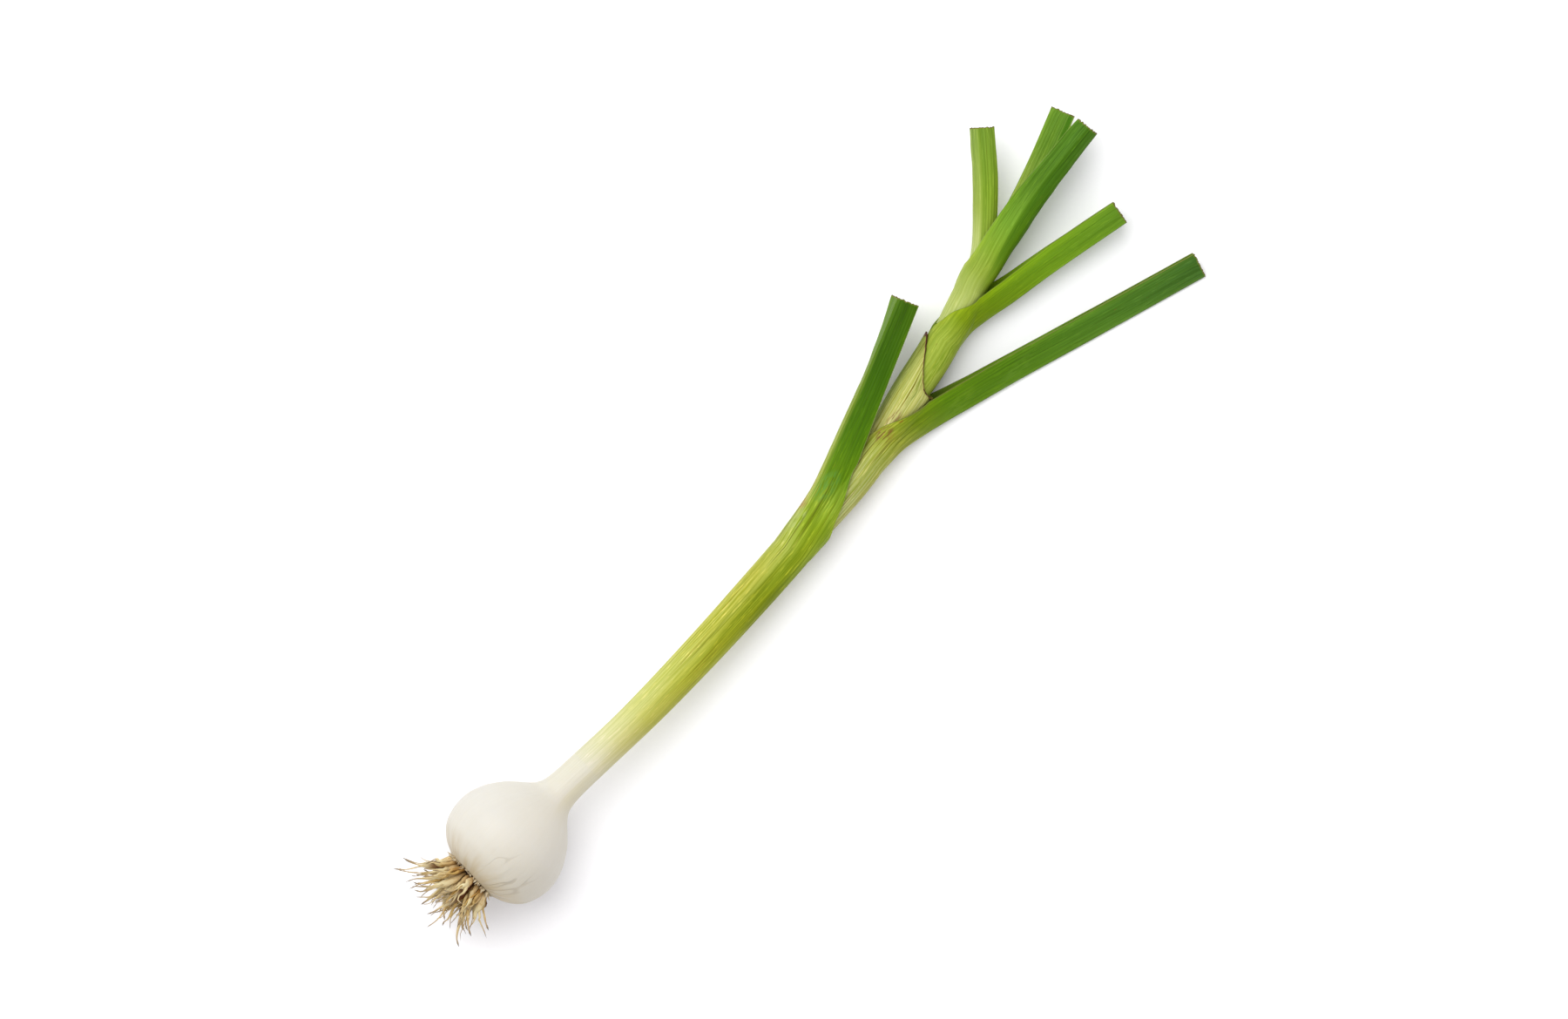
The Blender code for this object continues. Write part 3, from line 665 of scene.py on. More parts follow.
# %% Lines that the roots follow
PLATE_RADIUS = 9.0
PLATE_DOME = 1.9
ROOT_COUNT, ROOT_JOINTS, ROOT_SEED = 64, 5, 11
ROOT_LENGTHS = (16.0, 25.0)
ROOT_RADII = (1.36, 0.32)
ROOT_RING = 8.2                     # the outermost roots stand at this distance from the middle
ROOT_SPREAD = math.radians(30)
ROOT_FAN = 0.2                      # how much wider they spread to the sides than up and down
ROOT_DRIFT = 0.08                   # how far all of them lean to the plant's left
ROOT_DEPTH = 1.2                    # how deep they stand in the plate
ROOT_BEND, ROOT_WANDER = 0.10, 0.05
GOLDEN_ANGLE = math.pi * (3 - math.sqrt(5))


def dome(distance):
    """How far the plate stands out at this distance from its middle."""
    return PLATE_DOME * (1 - (distance / PLATE_RADIUS) ** 2)


def sideways(chance, size):
    """A random vector square to the bulb's axis."""
    return Vector((chance.uniform(-1, 1), chance.uniform(-1, 1), 0.0)) * size


def root_line(index, chance):
    """Points along one root, in the bulb's frame, where roots grow towards -Z."""
    share = math.sqrt((index + 0.5) / ROOT_COUNT)
    angle = index * GOLDEN_ANGLE + chance.uniform(-0.25, 0.25)
    start = Vector((math.cos(angle), math.sin(angle), 0.0)) * share * ROOT_RING
    lean = ROOT_SPREAD * share * (1 + ROOT_FAN * abs(math.sin(angle))) * chance.uniform(0.55, 1.15)
    outward = math.sin(lean)
    way = Vector((math.cos(angle) * outward, math.sin(angle) * outward + ROOT_DRIFT, -math.cos(lean)))
    way.normalize()
    bend = sideways(chance, ROOT_BEND)
    length = chance.uniform(*ROOT_LENGTHS) * (1.0 - 0.22 * share**4)
    step = length / ROOT_JOINTS
    point = start - Vector((0.0, 0.0, dome(start.length))) - way * ROOT_DEPTH
    points = [point.copy()]
    for _ in range(ROOT_JOINTS):
        point += way * step
        points.append(point.copy())
        way = (way + bend).normalized()
        bend += sideways(chance, ROOT_WANDER)
    return np.array(points)


# %% One strand
STRAND_SIDES = 6
SWAY, SWAY_PACE = 1.5, 3.4      # how far a strand swings to the sides, and how often
CURL = 3.0                      # how far its tip bends away
TWIST, UNEVENNESS = 0.09, 0.6   # from row to row, and of its thickness
TIP_RADIUS = 0.002              # small enough to be sewn to one point


def strand_layers(built):
    """What a strand remembers: its grain, how far along it a point is, and a tone of its own."""
    layers = built.verts.layers
    return layers.float_vector.new("grain"), layers.float.new("reach"), layers.float.new("tone")


def wavy(line, count, chance, crook):
    """A finer line through the points of a root, a little crooked, its last third curled."""
    shares = np.linspace(0, 1, count)
    fine = through(np.linspace(0, 1, len(line)), line, shares * 0.93)
    offset = Vector((chance.uniform(0, 50), chance.uniform(0, 50), 0))
    outward = Vector((line[-1][0], line[-1][1], 0)) / 14
    hook = Vector((chance.uniform(-1, 1), chance.uniform(-1, 1), chance.uniform(-0.1, 1.2))) + outward
    for point, share in zip(fine, shares):
        swing = noise.noise_vector(offset + Vector((0, 0, share * SWAY_PACE)))
        swing = swing * SWAY * crook * min(1.0, 3 * share)
        point += np.array(swing + hook * crook * CURL * share**2.5)
    return fine


def strand(line, radii, flat, tone):
    """Roll a grid up round a line of points, flattened, and close it at both ends."""
    tangents = np.gradient(line, axis=0)
    rows = []
    for index, (point, tangent) in enumerate(zip(line, tangents)):
        way = Vector(tangent).normalized()
        lean = 2.2 * (tone - 0.5) + TWIST * index
        across = way.cross(Vector((math.cos(lean), math.sin(lean), 0.2))).normalized()
        upward = way.cross(across)
        turn = np.linspace(0, FULL_TURN, STRAND_SIDES + 1)[:, None]
        shape = np.cos(turn) * np.array(across) + flat * np.sin(turn) * np.array(upward)
        ragged = 1 + UNEVENNESS * noise.noise(Vector((tone * 90, index * 0.55, 3)))
        rows.append(point + radii[index] * ragged * shape)
    built = bmesh.new()
    grain, reach, own_tone = strand_layers(built)
    for corner, i, j in bent_grid(built, np.array(rows)):
        turn = FULL_TURN * j / STRAND_SIDES
        corner[grain] = (i * 2.0 + tone * 90, math.cos(turn), math.sin(turn) + tone * 30)
        corner[reach] = i / (len(line) - 1)
        corner[own_tone] = tone
    sew(built)
    bmesh.ops.recalc_face_normals(built, faces=built.faces)
    return built


# %% Grow the tuft
ROOT_ROWS, ROOT_FLATNESS, ROOT_CROOK, ROOT_SIZES = 19, 0.42, 0.95, (0.82, 1.12)
FINE_ROOTS, FINE_ROWS, FINE_FLATNESS, FINE_CROOK = 26, 10, 0.6, 1.3
FINE_RADII = ((0.4, 0.6), 0.2)          # where a strand is thick, drawn at random, and where it is thin
TAPER_START, TAPER_LENGTH = 0.35, 0.5   # shares of a strand


def taper(count, thick, thin):
    """Radii along a strand: closed at its foot, broadest before its middle, drawn out to a point."""
    shares = np.linspace(0, 1, count)
    ending = np.clip((shares - TAPER_START) / TAPER_LENGTH, 0, 1)
    drawn_out = 1 - ending**2 * (3 - 2 * ending)
    swollen = 0.5 + 0.5 * np.sin(np.pi * shares) ** 0.7
    radii = thin + (thick - thin) * drawn_out * swollen
    radii[0] = radii[-1] = TIP_RADIUS
    return radii


def join(whole, one):
    """Add one small bmesh to the whole piece."""
    passing = bpy.data.meshes.new("passing")
    one.to_mesh(passing)
    one.free()
    whole.from_mesh(passing)
    bpy.data.meshes.remove(passing)


tuft = bmesh.new()
strand_layers(tuft)
noise.seed_set(ROOT_SEED)       # vector noise would start from the clock without it
chance, finer = random.Random(ROOT_SEED), random.Random(ROOT_SEED + 1)
for index in range(ROOT_COUNT):
    line = root_line(index, chance)
    size = chance.uniform(*ROOT_SIZES)
    radii = taper(ROOT_ROWS, ROOT_RADII[0] * size, ROOT_RADII[1] * size)
    bent = wavy(line, ROOT_ROWS, finer, ROOT_CROOK)
    join(tuft, strand(bent, radii, ROOT_FLATNESS, finer.random()))
for index in range(FINE_ROOTS):
    line = root_line(index * ROOT_COUNT / FINE_ROOTS, finer)
    radii = taper(FINE_ROWS, finer.uniform(*FINE_RADII[0]), FINE_RADII[1])
    bent = wavy(line, FINE_ROWS, finer, FINE_CROOK)
    join(tuft, strand(bent, radii, FINE_FLATNESS, finer.random()))
print("tuft:", ROOT_COUNT, "roots and", FINE_ROOTS, "finer ones,", len(tuft.faces), "faces")

# %% [markdown]
# ## Where the roots meet the bulb
#
# The plate itself is dark, corky and hardly seen between the roots. Round its rim, short dead root
# stubs and torn ends of the white skin stand like a crown over the edge of the bulb. They hide the
# line between the two pieces, and without them the bulb would look like a turned knob with bristles
# stuck in it.

# %% Stubs round the rim, and the plate
STUBS, STUB_ROWS, STUB_FLATNESS, STUB_CROOK = 58, 7, 0.5, 0.25
STUB_RADII = ((0.45, 0.8), 0.14)
STUB_LENGTHS = (1.6, 4.2)
STUB_REACH = (1.2, 0.6)     # from where and by how much: past 1, where the finish has their colours
PLATE_STEPS = 48
ROOT_GAP = 0.05             # keeps the roots clear of the table
for index in range(STUBS):
    turn = FULL_TURN * (index + finer.uniform(-0.35, 0.35)) / STUBS
    radial = Vector((math.cos(turn), math.sin(turn), 0))
    lean = finer.uniform(0.1, 0.75)
    foot_place = radial * (PLATE_RADIUS - 0.5) + Vector((0, 0, 0.5))
    way = radial * lean + Vector((0, 0, -1)) * (1 - 0.5 * lean)
    length = finer.uniform(*STUB_LENGTHS)
    line = np.array([foot_place + way * step for step in np.linspace(0, length, 4)])
    radii = taper(STUB_ROWS, finer.uniform(*STUB_RADII[0]), STUB_RADII[1])
    tone = finer.random()
    stub = strand(wavy(line, STUB_ROWS, finer, STUB_CROOK), radii, STUB_FLATNESS, tone)
    reach = stub.verts.layers.float["reach"]
    for corner in stub.verts:
        corner[reach] = STUB_REACH[0] + STUB_REACH[1] * corner[reach]
    join(tuft, stub)
plate = bmesh.new()
steps = [(2.1, 0.0), (2.1, 8.6), (0.6, PLATE_RADIUS), (0.0, PLATE_RADIUS)]
steps += [(-dome(distance), distance) for distance in (8.4, 7.0, 5.0, 2.5, 0.0)]
turned(plate, steps, Vector((1, 0, 0)), PLATE_STEPS)
for corner in plate.verts:
    if corner.co.z < 0:
        corner.co.z += 0.5 * MM * noise.noise(corner.co / MM * 0.9)
bmesh.ops.recalc_face_normals(plate, faces=plate.faces)
join(tuft, plate)
in_metres = Matrix.Scale(MM, 4)
bmesh.ops.transform(tuft, matrix=in_metres @ bulb_frame @ in_metres.inverted(), verts=tuft.verts)
for corner in tuft.verts:
    corner.co.z = max(corner.co.z, ROOT_GAP * MM)
root_tuft = add_piece(tuft, "root_tuft")
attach(root_tuft, "root")
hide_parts("roots")
print("root tuft with its plate:", len(root_tuft.data.polygons), "faces")

# %% [markdown]
# ## Short ways to place shader nodes
#
# A finish is a network of nodes. Wired one by one, even a simple one takes a page, so a few helpers
# come first: one adds a node and fills its sockets with values or with what other nodes put out, and
# the rest are the nodes used most. Colours are given as the values from 0 to 255 that a painter
# reads off a screen, and turned into the linear light that a shader works with. The scene is lit so
# brightly that white paper turns pure white, as studios do, and the colours allow for that.

# %% Node helpers
LIGHT_LEVEL = 1.5   # light on a level surface; at 1.0 perfectly white paper would look just white


def linear(red, green, blue):
    """A screen colour, 0 to 255, as linear light."""
    shares = [value / 255 for value in (red, green, blue)]
    return [s / 12.92 if s <= 0.04045 else ((s + 0.055) / 1.055) ** 2.4 for s in shares]


def paint(red, green, blue):
    """The colour of a surface that looks like this on screen under the light of this scene."""
    return (*[value / LIGHT_LEVEL for value in linear(red, green, blue)], 1.0)


def tint(red, green, blue):
    """A screen colour taken as it is: to multiply another with, or for white paper."""
    return (*linear(red, green, blue), 1.0)


def add_node(tree, kind, inputs=(), **settings):
    """Add a node, set its options and fill its inputs with values or other nodes' outputs."""
    made = tree.nodes.new(kind)
    for option, value in settings.items():
        setattr(made, option, value)
    for socket, value in dict(inputs).items():
        if isinstance(value, bpy.types.NodeSocket):
            tree.links.new(value, made.inputs[socket])
        else:
            made.inputs[socket].default_value = value
    return made


def maths(tree, operation, *values):
    """One step of arithmetic."""
    return add_node(tree, "ShaderNodeMath", dict(enumerate(values)), operation=operation).outputs[0]


def times(tree, one, other):
    """The product of two values."""
    return maths(tree, "MULTIPLY", one, other)


def mixed(tree, share, under, over, way="MIX"):
    """One colour over another, by a share from 0 to 1."""
    inputs = {0: share, 6: under, 7: over}
    return add_node(tree, "ShaderNodeMix", inputs, data_type="RGBA", blend_type=way).outputs[2]


def toned(tree, share, colour, by):
    """A colour multiplied by another, by a share from 0 to 1."""
    return mixed(tree, share, colour, by, "MULTIPLY")


def fade(tree, value, start, end, low=0.0, high=1.0):
    """A smooth change from low to high while a value goes from start to end."""
    inputs = {0: value, 1: start, 2: end, 3: low, 4: high}
    return add_node(tree, "ShaderNodeMapRange", inputs, interpolation_type="SMOOTHSTEP").outputs[0]


def cloud(tree, vector, scale, detail=2.0):
    """Soft noise, 0 to 1."""
    inputs = {"Vector": vector, "Scale": scale, "Detail": detail}
    return add_node(tree, "ShaderNodeTexNoise", inputs).outputs[0]


def streaky(tree, grain, along, across, detail):
    """Noise drawn out along the grain: how fine it is along and across it, and its detail."""
    drawn_out = add_node(tree, "ShaderNodeMapping", {"Vector": grain, "Scale": (along, across, across)})
    return cloud(tree, drawn_out.outputs[0], 1.0, detail)


def ramp(tree, share, stops):
    """Colours at places from 0 to 1."""
    made = add_node(tree, "ShaderNodeValToRGB", {0: share})
    elements = made.color_ramp.elements
    elements[0].position, elements[0].color = stops[0]
    elements[1].position, elements[1].color = stops[-1]
    for place, colour in stops[1:-1]:
        elements.new(place).color = colour
    return made.outputs[0]


# %% Colours along the plant


def ramp_along(tree, x, stops):
    """A ramp whose places are given as x along the plant, in millimetres."""
    first, last = stops[0][0], stops[-1][0]
    share = add_node(tree, "ShaderNodeMapRange", {0: x, 1: first * MM, 2: last * MM}).outputs[0]
    return ramp(tree, share, [((place - first) / (last - first), colour) for place, colour in stops])


def along_plant(tree, x, stops):
    """Colours along the plant, given as pairs of x and a screen colour."""
    return ramp_along(tree, x, [(place, paint(*tone)) for place, tone in stops])


def amount_along(tree, x, stops):
    """An amount that changes along the plant, given as pairs of x and a value."""
    return ramp_along(tree, x, [(place, (value, value, value, 1)) for place, value in stops])


print("pale yellow in linear light:", [round(value, 3) for value in paint(226, 225, 165)])

# %% [markdown]
# ## What all leaves share: streaks, flecks and dried edges
#
# Leaf veins run along the grain. In a finish that is noise stretched until its blobs are lines, read
# from the grain that the sheet carries, so that the streaks bend with the leaf and close round a
# sheath. The same veins show on every leaf, so they are a node group, built once. A second group
# gives small dead flecks, and a third a ragged band along an edge: dried margins, a torn mouth and
# the brown line where the knife went.

# %% Node groups
VEINS_OF = {    # how fine along and across the grain, how detailed, and from where to where it shows
    "Fine": (0.045, 2.3, 3.0, 0.3, 0.7),
    "Broad": (0.02, 0.62, 2.0, 0.3, 0.7),
    "Lines": (0.03, 1.7, 1.0, 0.60, 0.72),
    "Dashes": (0.24, 2.4, 1.0, 0.58, 0.74),
}


def new_group(name, inputs, outputs):
    """An empty node group with its sockets."""
    group = bpy.data.node_groups.new(name, "ShaderNodeTree")
    for label, kind in inputs:
        group.interface.new_socket(label, in_out="INPUT", socket_type=kind)
    for label in outputs:
        group.interface.new_socket(label, in_out="OUTPUT", socket_type="NodeSocketFloat")
    return group, group.nodes.new("NodeGroupInput").outputs, group.nodes.new("NodeGroupOutput").inputs


def make_veins():
    """Fine and broad streaks along the grain, scattered dark lines, and short light dashes."""
    group, given, out = new_group("veins", [("Grain", "NodeSocketVector")], VEINS_OF)
    for kind, (along, across, detail, start, end) in VEINS_OF.items():
        streaks = streaky(group, given["Grain"], along, across, detail)
        group.links.new(fade(group, streaks, start, end), out[kind])
    return group


def make_flecks():
    """Small dead flecks, drawn out a little along the grain."""
    group, given, out = new_group("flecks", [("Grain", "NodeSocketVector")], ["Mask"])
    spots = streaky(group, given["Grain"], 0.55, 1.5, 1.0)
    group.links.new(fade(group, spots, 0.73, 0.79), out["Mask"])
    return group


def make_edge_band():
    """A ragged band along an edge: 1 at the edge, 0 past its width."""
    inputs = [(label, "NodeSocketFloat") for label in ("Distance", "Width")]
    group, given, out = new_group("edge_band", inputs + [("Grain", "NodeSocketVector")], ["Mask"])
    rough = maths(group, "SUBTRACT", cloud(group, given["Grain"], 1.4, 3.0), 0.5)
    moved = maths(group, "ADD", maths(group, "DIVIDE", given["Distance"], given["Width"]), rough)
    group.links.new(fade(group, moved, 0.5, 1.1, 1.0, 0.0), out["Mask"])
    return group


VEINS, FLECKS, EDGE_BAND = make_veins(), make_flecks(), make_edge_band()
print("shared effects:", [group.name for group in (VEINS, FLECKS, EDGE_BAND)])

# %% Start a finish


def parts(tree, vector):
    """The three parts of a vector."""
    return add_node(tree, "ShaderNodeSeparateXYZ", {0: vector}).outputs


def new_finish(name):
    """A material with its tree, its shader and the place of a point (x, y and z, in metres)."""
    material = bpy.data.materials.new(name)
    material.use_nodes = True
    tree = material.node_tree
    place = tree.nodes.new("ShaderNodeTexCoord").outputs["Object"]
    return material, tree, tree.nodes["Principled BSDF"], parts(tree, place)


def attribute(tree, name, output="Vector"):
    """What a piece remembers about its points."""
    return add_node(tree, "ShaderNodeAttribute", attribute_name=name).outputs[output]


def grouped(tree, group, inputs):
    """One of the shared effects."""
    return add_node(tree, "ShaderNodeGroup", inputs, node_tree=group).outputs


def edge_band(tree, distance, width, grain):
    """The shared ragged band along an edge."""
    inputs = {"Distance": distance, "Width": width, "Grain": grain}
    return grouped(tree, EDGE_BAND, inputs)["Mask"]


def dressed(tree, shader, colour, roughness, mirroring):
    """Feed a colour and a roughness to the shader, and set how strongly it mirrors."""
    tree.links.new(colour, shader.inputs["Base Color"])
    tree.links.new(roughness, shader.inputs["Roughness"])
    shader.inputs["Specular IOR Level"].default_value = mirroring


def raised(tree, shader, height, depth, strength):
    """Feed a height, in shares of a depth in millimetres, to the shader's normal."""
    inputs = {"Height": height, "Distance": depth * MM, "Strength": strength}
    tree.links.new(add_node(tree, "ShaderNodeBump", inputs).outputs[0], shader.inputs["Normal"])


# %% [markdown]
# ## The skin of stem and leaves
#
# Every leaf fades along its length, from almost white near the bulb over yellow to green. A leaf's
# finish starts from two rows of colours along the plant, one for each arm, and on a sheath one for each
# side. The rows differ partly in the leaf's own tone and partly by painted light and shade, by how each
# arm or side faces the lamp. The veins then darken and lighten it, painted light brightens the keel and
# the margins, the margins get their own fine lines, and the knife's cut a thin dry edge. All leaves use
# one recipe with their own values, which keeps them of one kind and still lets each be itself.

# %% The recipe for a leaf
# the first two fields are the colour rows of the two arms: partly the leaf's own tone, partly painted
# light and shade
LeafLook = namedtuple(
    "LeafLook", "one other streaks lines keel_light margin margin_width flecks cut blemishes")
Cut = namedtuple("Cut", "dry dry_width knife knife_width tongue", defaults=(0.0,))
Blemish = namedtuple("Blemish", "x y length width tone amount")
# painted shade on the neck: this turn is where its side away from the lamp faces
SHADE_STRIP_TURN = math.radians(156) - KEEL     # where the neck's flatter, darker side faces
SHADE_STRIP_WAY = (0.0, math.sin(SHADE_STRIP_TURN) / GRAIN_RADIUS, math.cos(SHADE_STRIP_TURN) / GRAIN_RADIUS)
KNIFE_CUT = Cut((150, 150, 66), 0.55, (112, 98, 44), 0.24)
PALE_VEINS, PALE_DASHES = (1.30, 1.22, 1.25, 1.0), (1.6, 1.4, 1.9, 1.0)     # to multiply with
# painted light: the first lightens a band along the keel; the second lightens the margins as rim light,
# partly also the paler thin edge
PAINTED_KEEL_LIGHT, PAINTED_MARGIN_LIGHT = (1.5, 1.35, 1.4, 1.0), (1.5, 1.32, 1.5, 1.0)


def painted_neck_shade(tree, colour, grain, x):
    """Painted shade: darken the side of the neck turned away from the lamp, on the bulb and on past it.
    """
    facing = add_node(tree, "ShaderNodeVectorMath", {0: grain, 1: SHADE_STRIP_WAY}, operation="DOT_PRODUCT")
    starts = fade(tree, x, 14 * MM, 25 * MM)
    near = times(tree, starts, fade(tree, x, 40 * MM, 110 * MM, 1.0, 0.0))
    strip = times(tree, fade(tree, facing.outputs[1], 0.62, 0.80), near)
    return toned(tree, strip, colour, tint(252, 250, 236))


def with_spots_and_shade(tree, colour, place, grain, blemishes):
    """Lay patches of another tone over a colour, broken up along the grain: spots of the leaf itself,
    and here and there painted shade.
    """
    broken = fade(tree, streaky(tree, grain, 0.28, 1.9, 3.0), 0.42, 0.58)
    for spot in blemishes:
        away = []
        for value, middle, size in ((place[0], spot.x, spot.length), (place[1], spot.y, spot.width)):
            offset = maths(tree, "SUBTRACT", value, middle * MM)
            away.append(maths(tree, "POWER", maths(tree, "DIVIDE", offset, size * MM), 2.0))
        near = fade(tree, maths(tree, "ADD", *away), 0.2, 1.2, 1.0, 0.0)
        mask = times(tree, times(tree, near, broken), spot.amount)
        colour = mixed(tree, mask, colour, paint(*spot.tone))
    return colour


def leaf_finish(name, look):
    """The finish of one leaf, from its two rows of colours to its cut end."""
    material, tree, shader, place = new_finish(name)
    x = place[0]
    grain = attribute(tree, "grain")
    off_keel, to_margin, to_cut = parts(tree, attribute(tree, "edges"))
    side = fade(tree, attribute(tree, "side", "Fac"), 0.0, 0.95)
    # partly painted light and shade: the two rows differ by how each arm or side faces the lamp
    colour = mixed(tree, side, along_plant(tree, x, look.other), along_plant(tree, x, look.one))
    # painted shade along the neck's side away from the lamp
    if name == "leaf_1_finish":
        colour = painted_neck_shade(tree, colour, grain, x)
    veins = grouped(tree, VEINS, {"Grain": grain})
    depth = amount_along(tree, x, look.streaks)
    for kind, amount, by in (
        ("Fine", depth, tint(200, 206, 120)),
        ("Broad", depth, PALE_VEINS),
        ("Lines", amount_along(tree, x, look.lines), tint(176, 156, 104)),
        ("Dashes", times(tree, depth, 0.9), PALE_DASHES),
    ):
        colour = toned(tree, times(tree, veins[kind], amount), colour, by)
    # painted light along the keel, and along the margins painted rim light together with the thin
    # edge's own paleness
    colour = toned(tree, fade(tree, off_keel, 0.2, 5.0, look.keel_light, 0.0), colour, PAINTED_KEEL_LIGHT)
    colour = toned(tree, fade(tree, to_margin, 0.2, 3.0, 0.5, 0.0), colour, PAINTED_MARGIN_LIGHT)
    colour = with_spots_and_shade(tree, colour, place, grain, look.blemishes)
    margin = edge_band(tree, to_margin, look.margin_width, grain)
    colour = mixed(tree, margin, colour, paint(*look.margin))
    flecks = times(tree, grouped(tree, FLECKS, {"Grain": grain})["Mask"], look.flecks)
    colour = mixed(tree, flecks, colour, paint(140, 96, 40))
    cut = look.cut
    dry = times(tree, edge_band(tree, to_cut, cut.dry_width, grain), 0.6)
    colour = mixed(tree, dry, colour, paint(*cut.dry))
    width = fade(tree, off_keel, 0.4, 3.2, cut.knife_width + cut.tongue, cut.knife_width)
    colour = mixed(tree, edge_band(tree, to_cut, width, grain), colour, paint(*cut.knife))
    dressed(tree, shader, colour, fade(tree, veins["Fine"], 0.0, 1.0, 0.40, 0.55), 0.07)
    height = maths(tree, "ADD", veins["Fine"], times(tree, veins["Broad"], 1.5))
    raised(tree, shader, height, 0.05, 0.6)
    return material


# %% The looks of seven leaves
LOOKS = {
    "leaf_1": LeafLook(
        [(20, (243, 238, 221)), (36, (243, 238, 218)), (50, (226, 222, 156)), (62, (208, 209, 108)),
         (80, (187, 194, 68)), (100, (168, 179, 44)), (122, (150, 168, 30)), (142, (162, 186, 46)),
         (150, (148, 178, 36)), (158, (148, 180, 54)), (168, (102, 146, 16)), (182, (78, 124, 5)),
         (204, (66, 112, 2)), (230, (68, 110, 6))],
        [(20, (238, 234, 220)), (36, (234, 232, 208)), (50, (228, 229, 170)), (62, (219, 223, 140)),
         (80, (214, 220, 120)), (98, (199, 204, 92)), (125, (184, 190, 80)), (146, (180, 199, 104)),
         (156, (198, 206, 118)), (170, (172, 190, 88)), (190, (148, 171, 56)), (212, (106, 147, 34)),
         (230, (98, 139, 28))],
        [(20, 0.0), (60, 0.4), (110, 1.0), (165, 1.0), (185, 0.6), (230, 0.7)],
        [(50, 0.0), (100, 0.6), (160, 0.7), (175, 0.25), (230, 0.3)],
        0.05, (150, 160, 90), 0.16, 0.15, KNIFE_CUT,
        [Blemish(163.0, -5.6, 7, 3.6, (104, 162, 66), 0.6),
         Blemish(153.5, -3.2, 3.0, 1.2, (190, 140, 96), 0.8),
         Blemish(148.0, -5.0, 6, 2.2, (204, 218, 140), 0.4)]),
    "leaf_2": LeafLook(
        [(126, (176, 182, 84)), (180, (162, 172, 70)), (205, (112, 144, 18)), (240, (102, 146, 24)),
         (304, (88, 128, 32))],
        [(126, (184, 188, 128)), (158, (200, 208, 140)), (176, (193, 203, 120)), (190, (168, 181, 66)),
         (200, (123, 153, 20)), (212, (100, 145, 8)), (235, (92, 140, 18)), (268, (91, 142, 39)),
         (304, (76, 124, 44))],
        [(126, 1.0), (190, 1.0), (206, 0.6), (304, 0.7)],
        [(126, 0.9), (186, 0.8), (200, 0.3), (304, 0.35)],
        0.35, (128, 140, 60), 0.18, 0.35, KNIFE_CUT,
        [Blemish(189.5, -9.5, 4.2, 3.0, (132, 92, 46), 0.85),
         Blemish(197.2, -10.4, 1.8, 1.0, (150, 88, 32), 0.85),
         Blemish(172.0, -17.5, 9, 2.2, (176, 170, 70), 0.4),
         Blemish(214.0, -22.4, 9, 2.6, (118, 158, 30), 0.7),
         Blemish(233.0, -30.5, 12, 3.0, (110, 154, 40), 0.6)]),
    "leaf_3": LeafLook(
        [(167, (206, 208, 132)), (190, (214, 214, 138)), (204, (208, 213, 132)), (216, (198, 205, 122)),
         (228, (178, 190, 92))],
        [(167, (160, 180, 80)), (200, (148, 170, 66)), (228, (150, 166, 70))],
        [(167, 1.0), (228, 1.0)],
        [(167, 0.9), (215, 0.9), (228, 1.0)],
        0.0, (120, 70, 40), 0.8, 0.5, Cut((150, 112, 62), 0.8, (92, 50, 40), 0.3, 1.7),
        [Blemish(195, -8.6, 5.0, 2.2, (140, 100, 54), 0.7),
         # painted shade: a dark olive patch on the sheath's low side, away from the lamp
         Blemish(211, -8.0, 9, 1.6, (104, 128, 22), 0.5)]),
    "leaf_4": LeafLook(
        [(197, (176, 194, 76)), (227, (160, 188, 58)), (240, (124, 160, 8)), (252, (128, 170, 12)),
         (275, (130, 178, 26)), (300, (116, 164, 38))],
        [(197, (172, 192, 78)), (228, (166, 190, 70)), (237, (138, 168, 22)), (248, (128, 167, 10)),
         (270, (132, 182, 30)), (300, (118, 170, 42))],
        [(197, 0.7), (235, 0.6), (250, 0.6), (300, 0.7)],
        [(197, 0.2), (232, 0.2), (245, 0.25), (300, 0.3)],
        0.4, (124, 148, 50), 0.18, 0.35, KNIFE_CUT,
        [Blemish(222, -8.4, 12, 1.8, (120, 154, 10), 0.5)]),
    "leaf_5": LeafLook(
        [(215, (176, 194, 84)), (240, (170, 192, 72)), (252, (144, 178, 42)), (262, (110, 156, 28)),
         (274, (96, 145, 22)), (290, (82, 132, 24)), (316, (80, 130, 28))],
        [(215, (206, 218, 152)), (240, (194, 210, 120)), (253, (158, 184, 70)), (262, (140, 178, 50)),
         (272, (122, 169, 46)), (290, (89, 135, 28)), (316, (78, 128, 28))],
        [(215, 0.4), (260, 0.5), (275, 0.7), (316, 0.8)],
        [(215, 0.0), (270, 0.3), (316, 0.5)],
        0.0, (150, 174, 90), 0.16, 0.2, KNIFE_CUT, []),
    "leaf_6": LeafLook(
        [(236, (180, 202, 92)), (262, (160, 190, 68)), (276, (138, 175, 48)), (292, (128, 166, 54))],
        [(236, (206, 220, 156)), (262, (192, 210, 122)), (270, (162, 187, 82)), (292, (140, 174, 76))],
        [(236, 0.3), (270, 0.6), (292, 0.8)],
        [(236, 0.0), (270, 0.2), (292, 0.4)],
        0.0, (180, 200, 110), 0.16, 0.15, KNIFE_CUT, []),
    "leaf_7": LeafLook(
        [(243, (196, 208, 118)), (262, (182, 206, 92)), (286, (166, 200, 86)), (300, (126, 172, 58)),
         (316, (112, 162, 50))],
        [(243, (180, 196, 88)), (262, (154, 190, 62)), (286, (126, 172, 54)), (300, (88, 142, 34)),
         (316, (78, 132, 28))],
        [(243, 0.3), (284, 0.6), (316, 0.8)],
        [(243, 0.0), (284, 0.3), (316, 0.5)],
        0.05, (150, 180, 80), 0.16, 0.15, KNIFE_CUT, []),
}
for name, piece in leaf_pieces.items():
    piece.data.materials.append(leaf_finish(name + "_finish", LOOKS[name]))
inner_bud.data.materials.append(leaf_pieces["leaf_6"].data.materials[0])
print("finishes:", [piece.active_material.name for piece in leaf_pieces.values()])
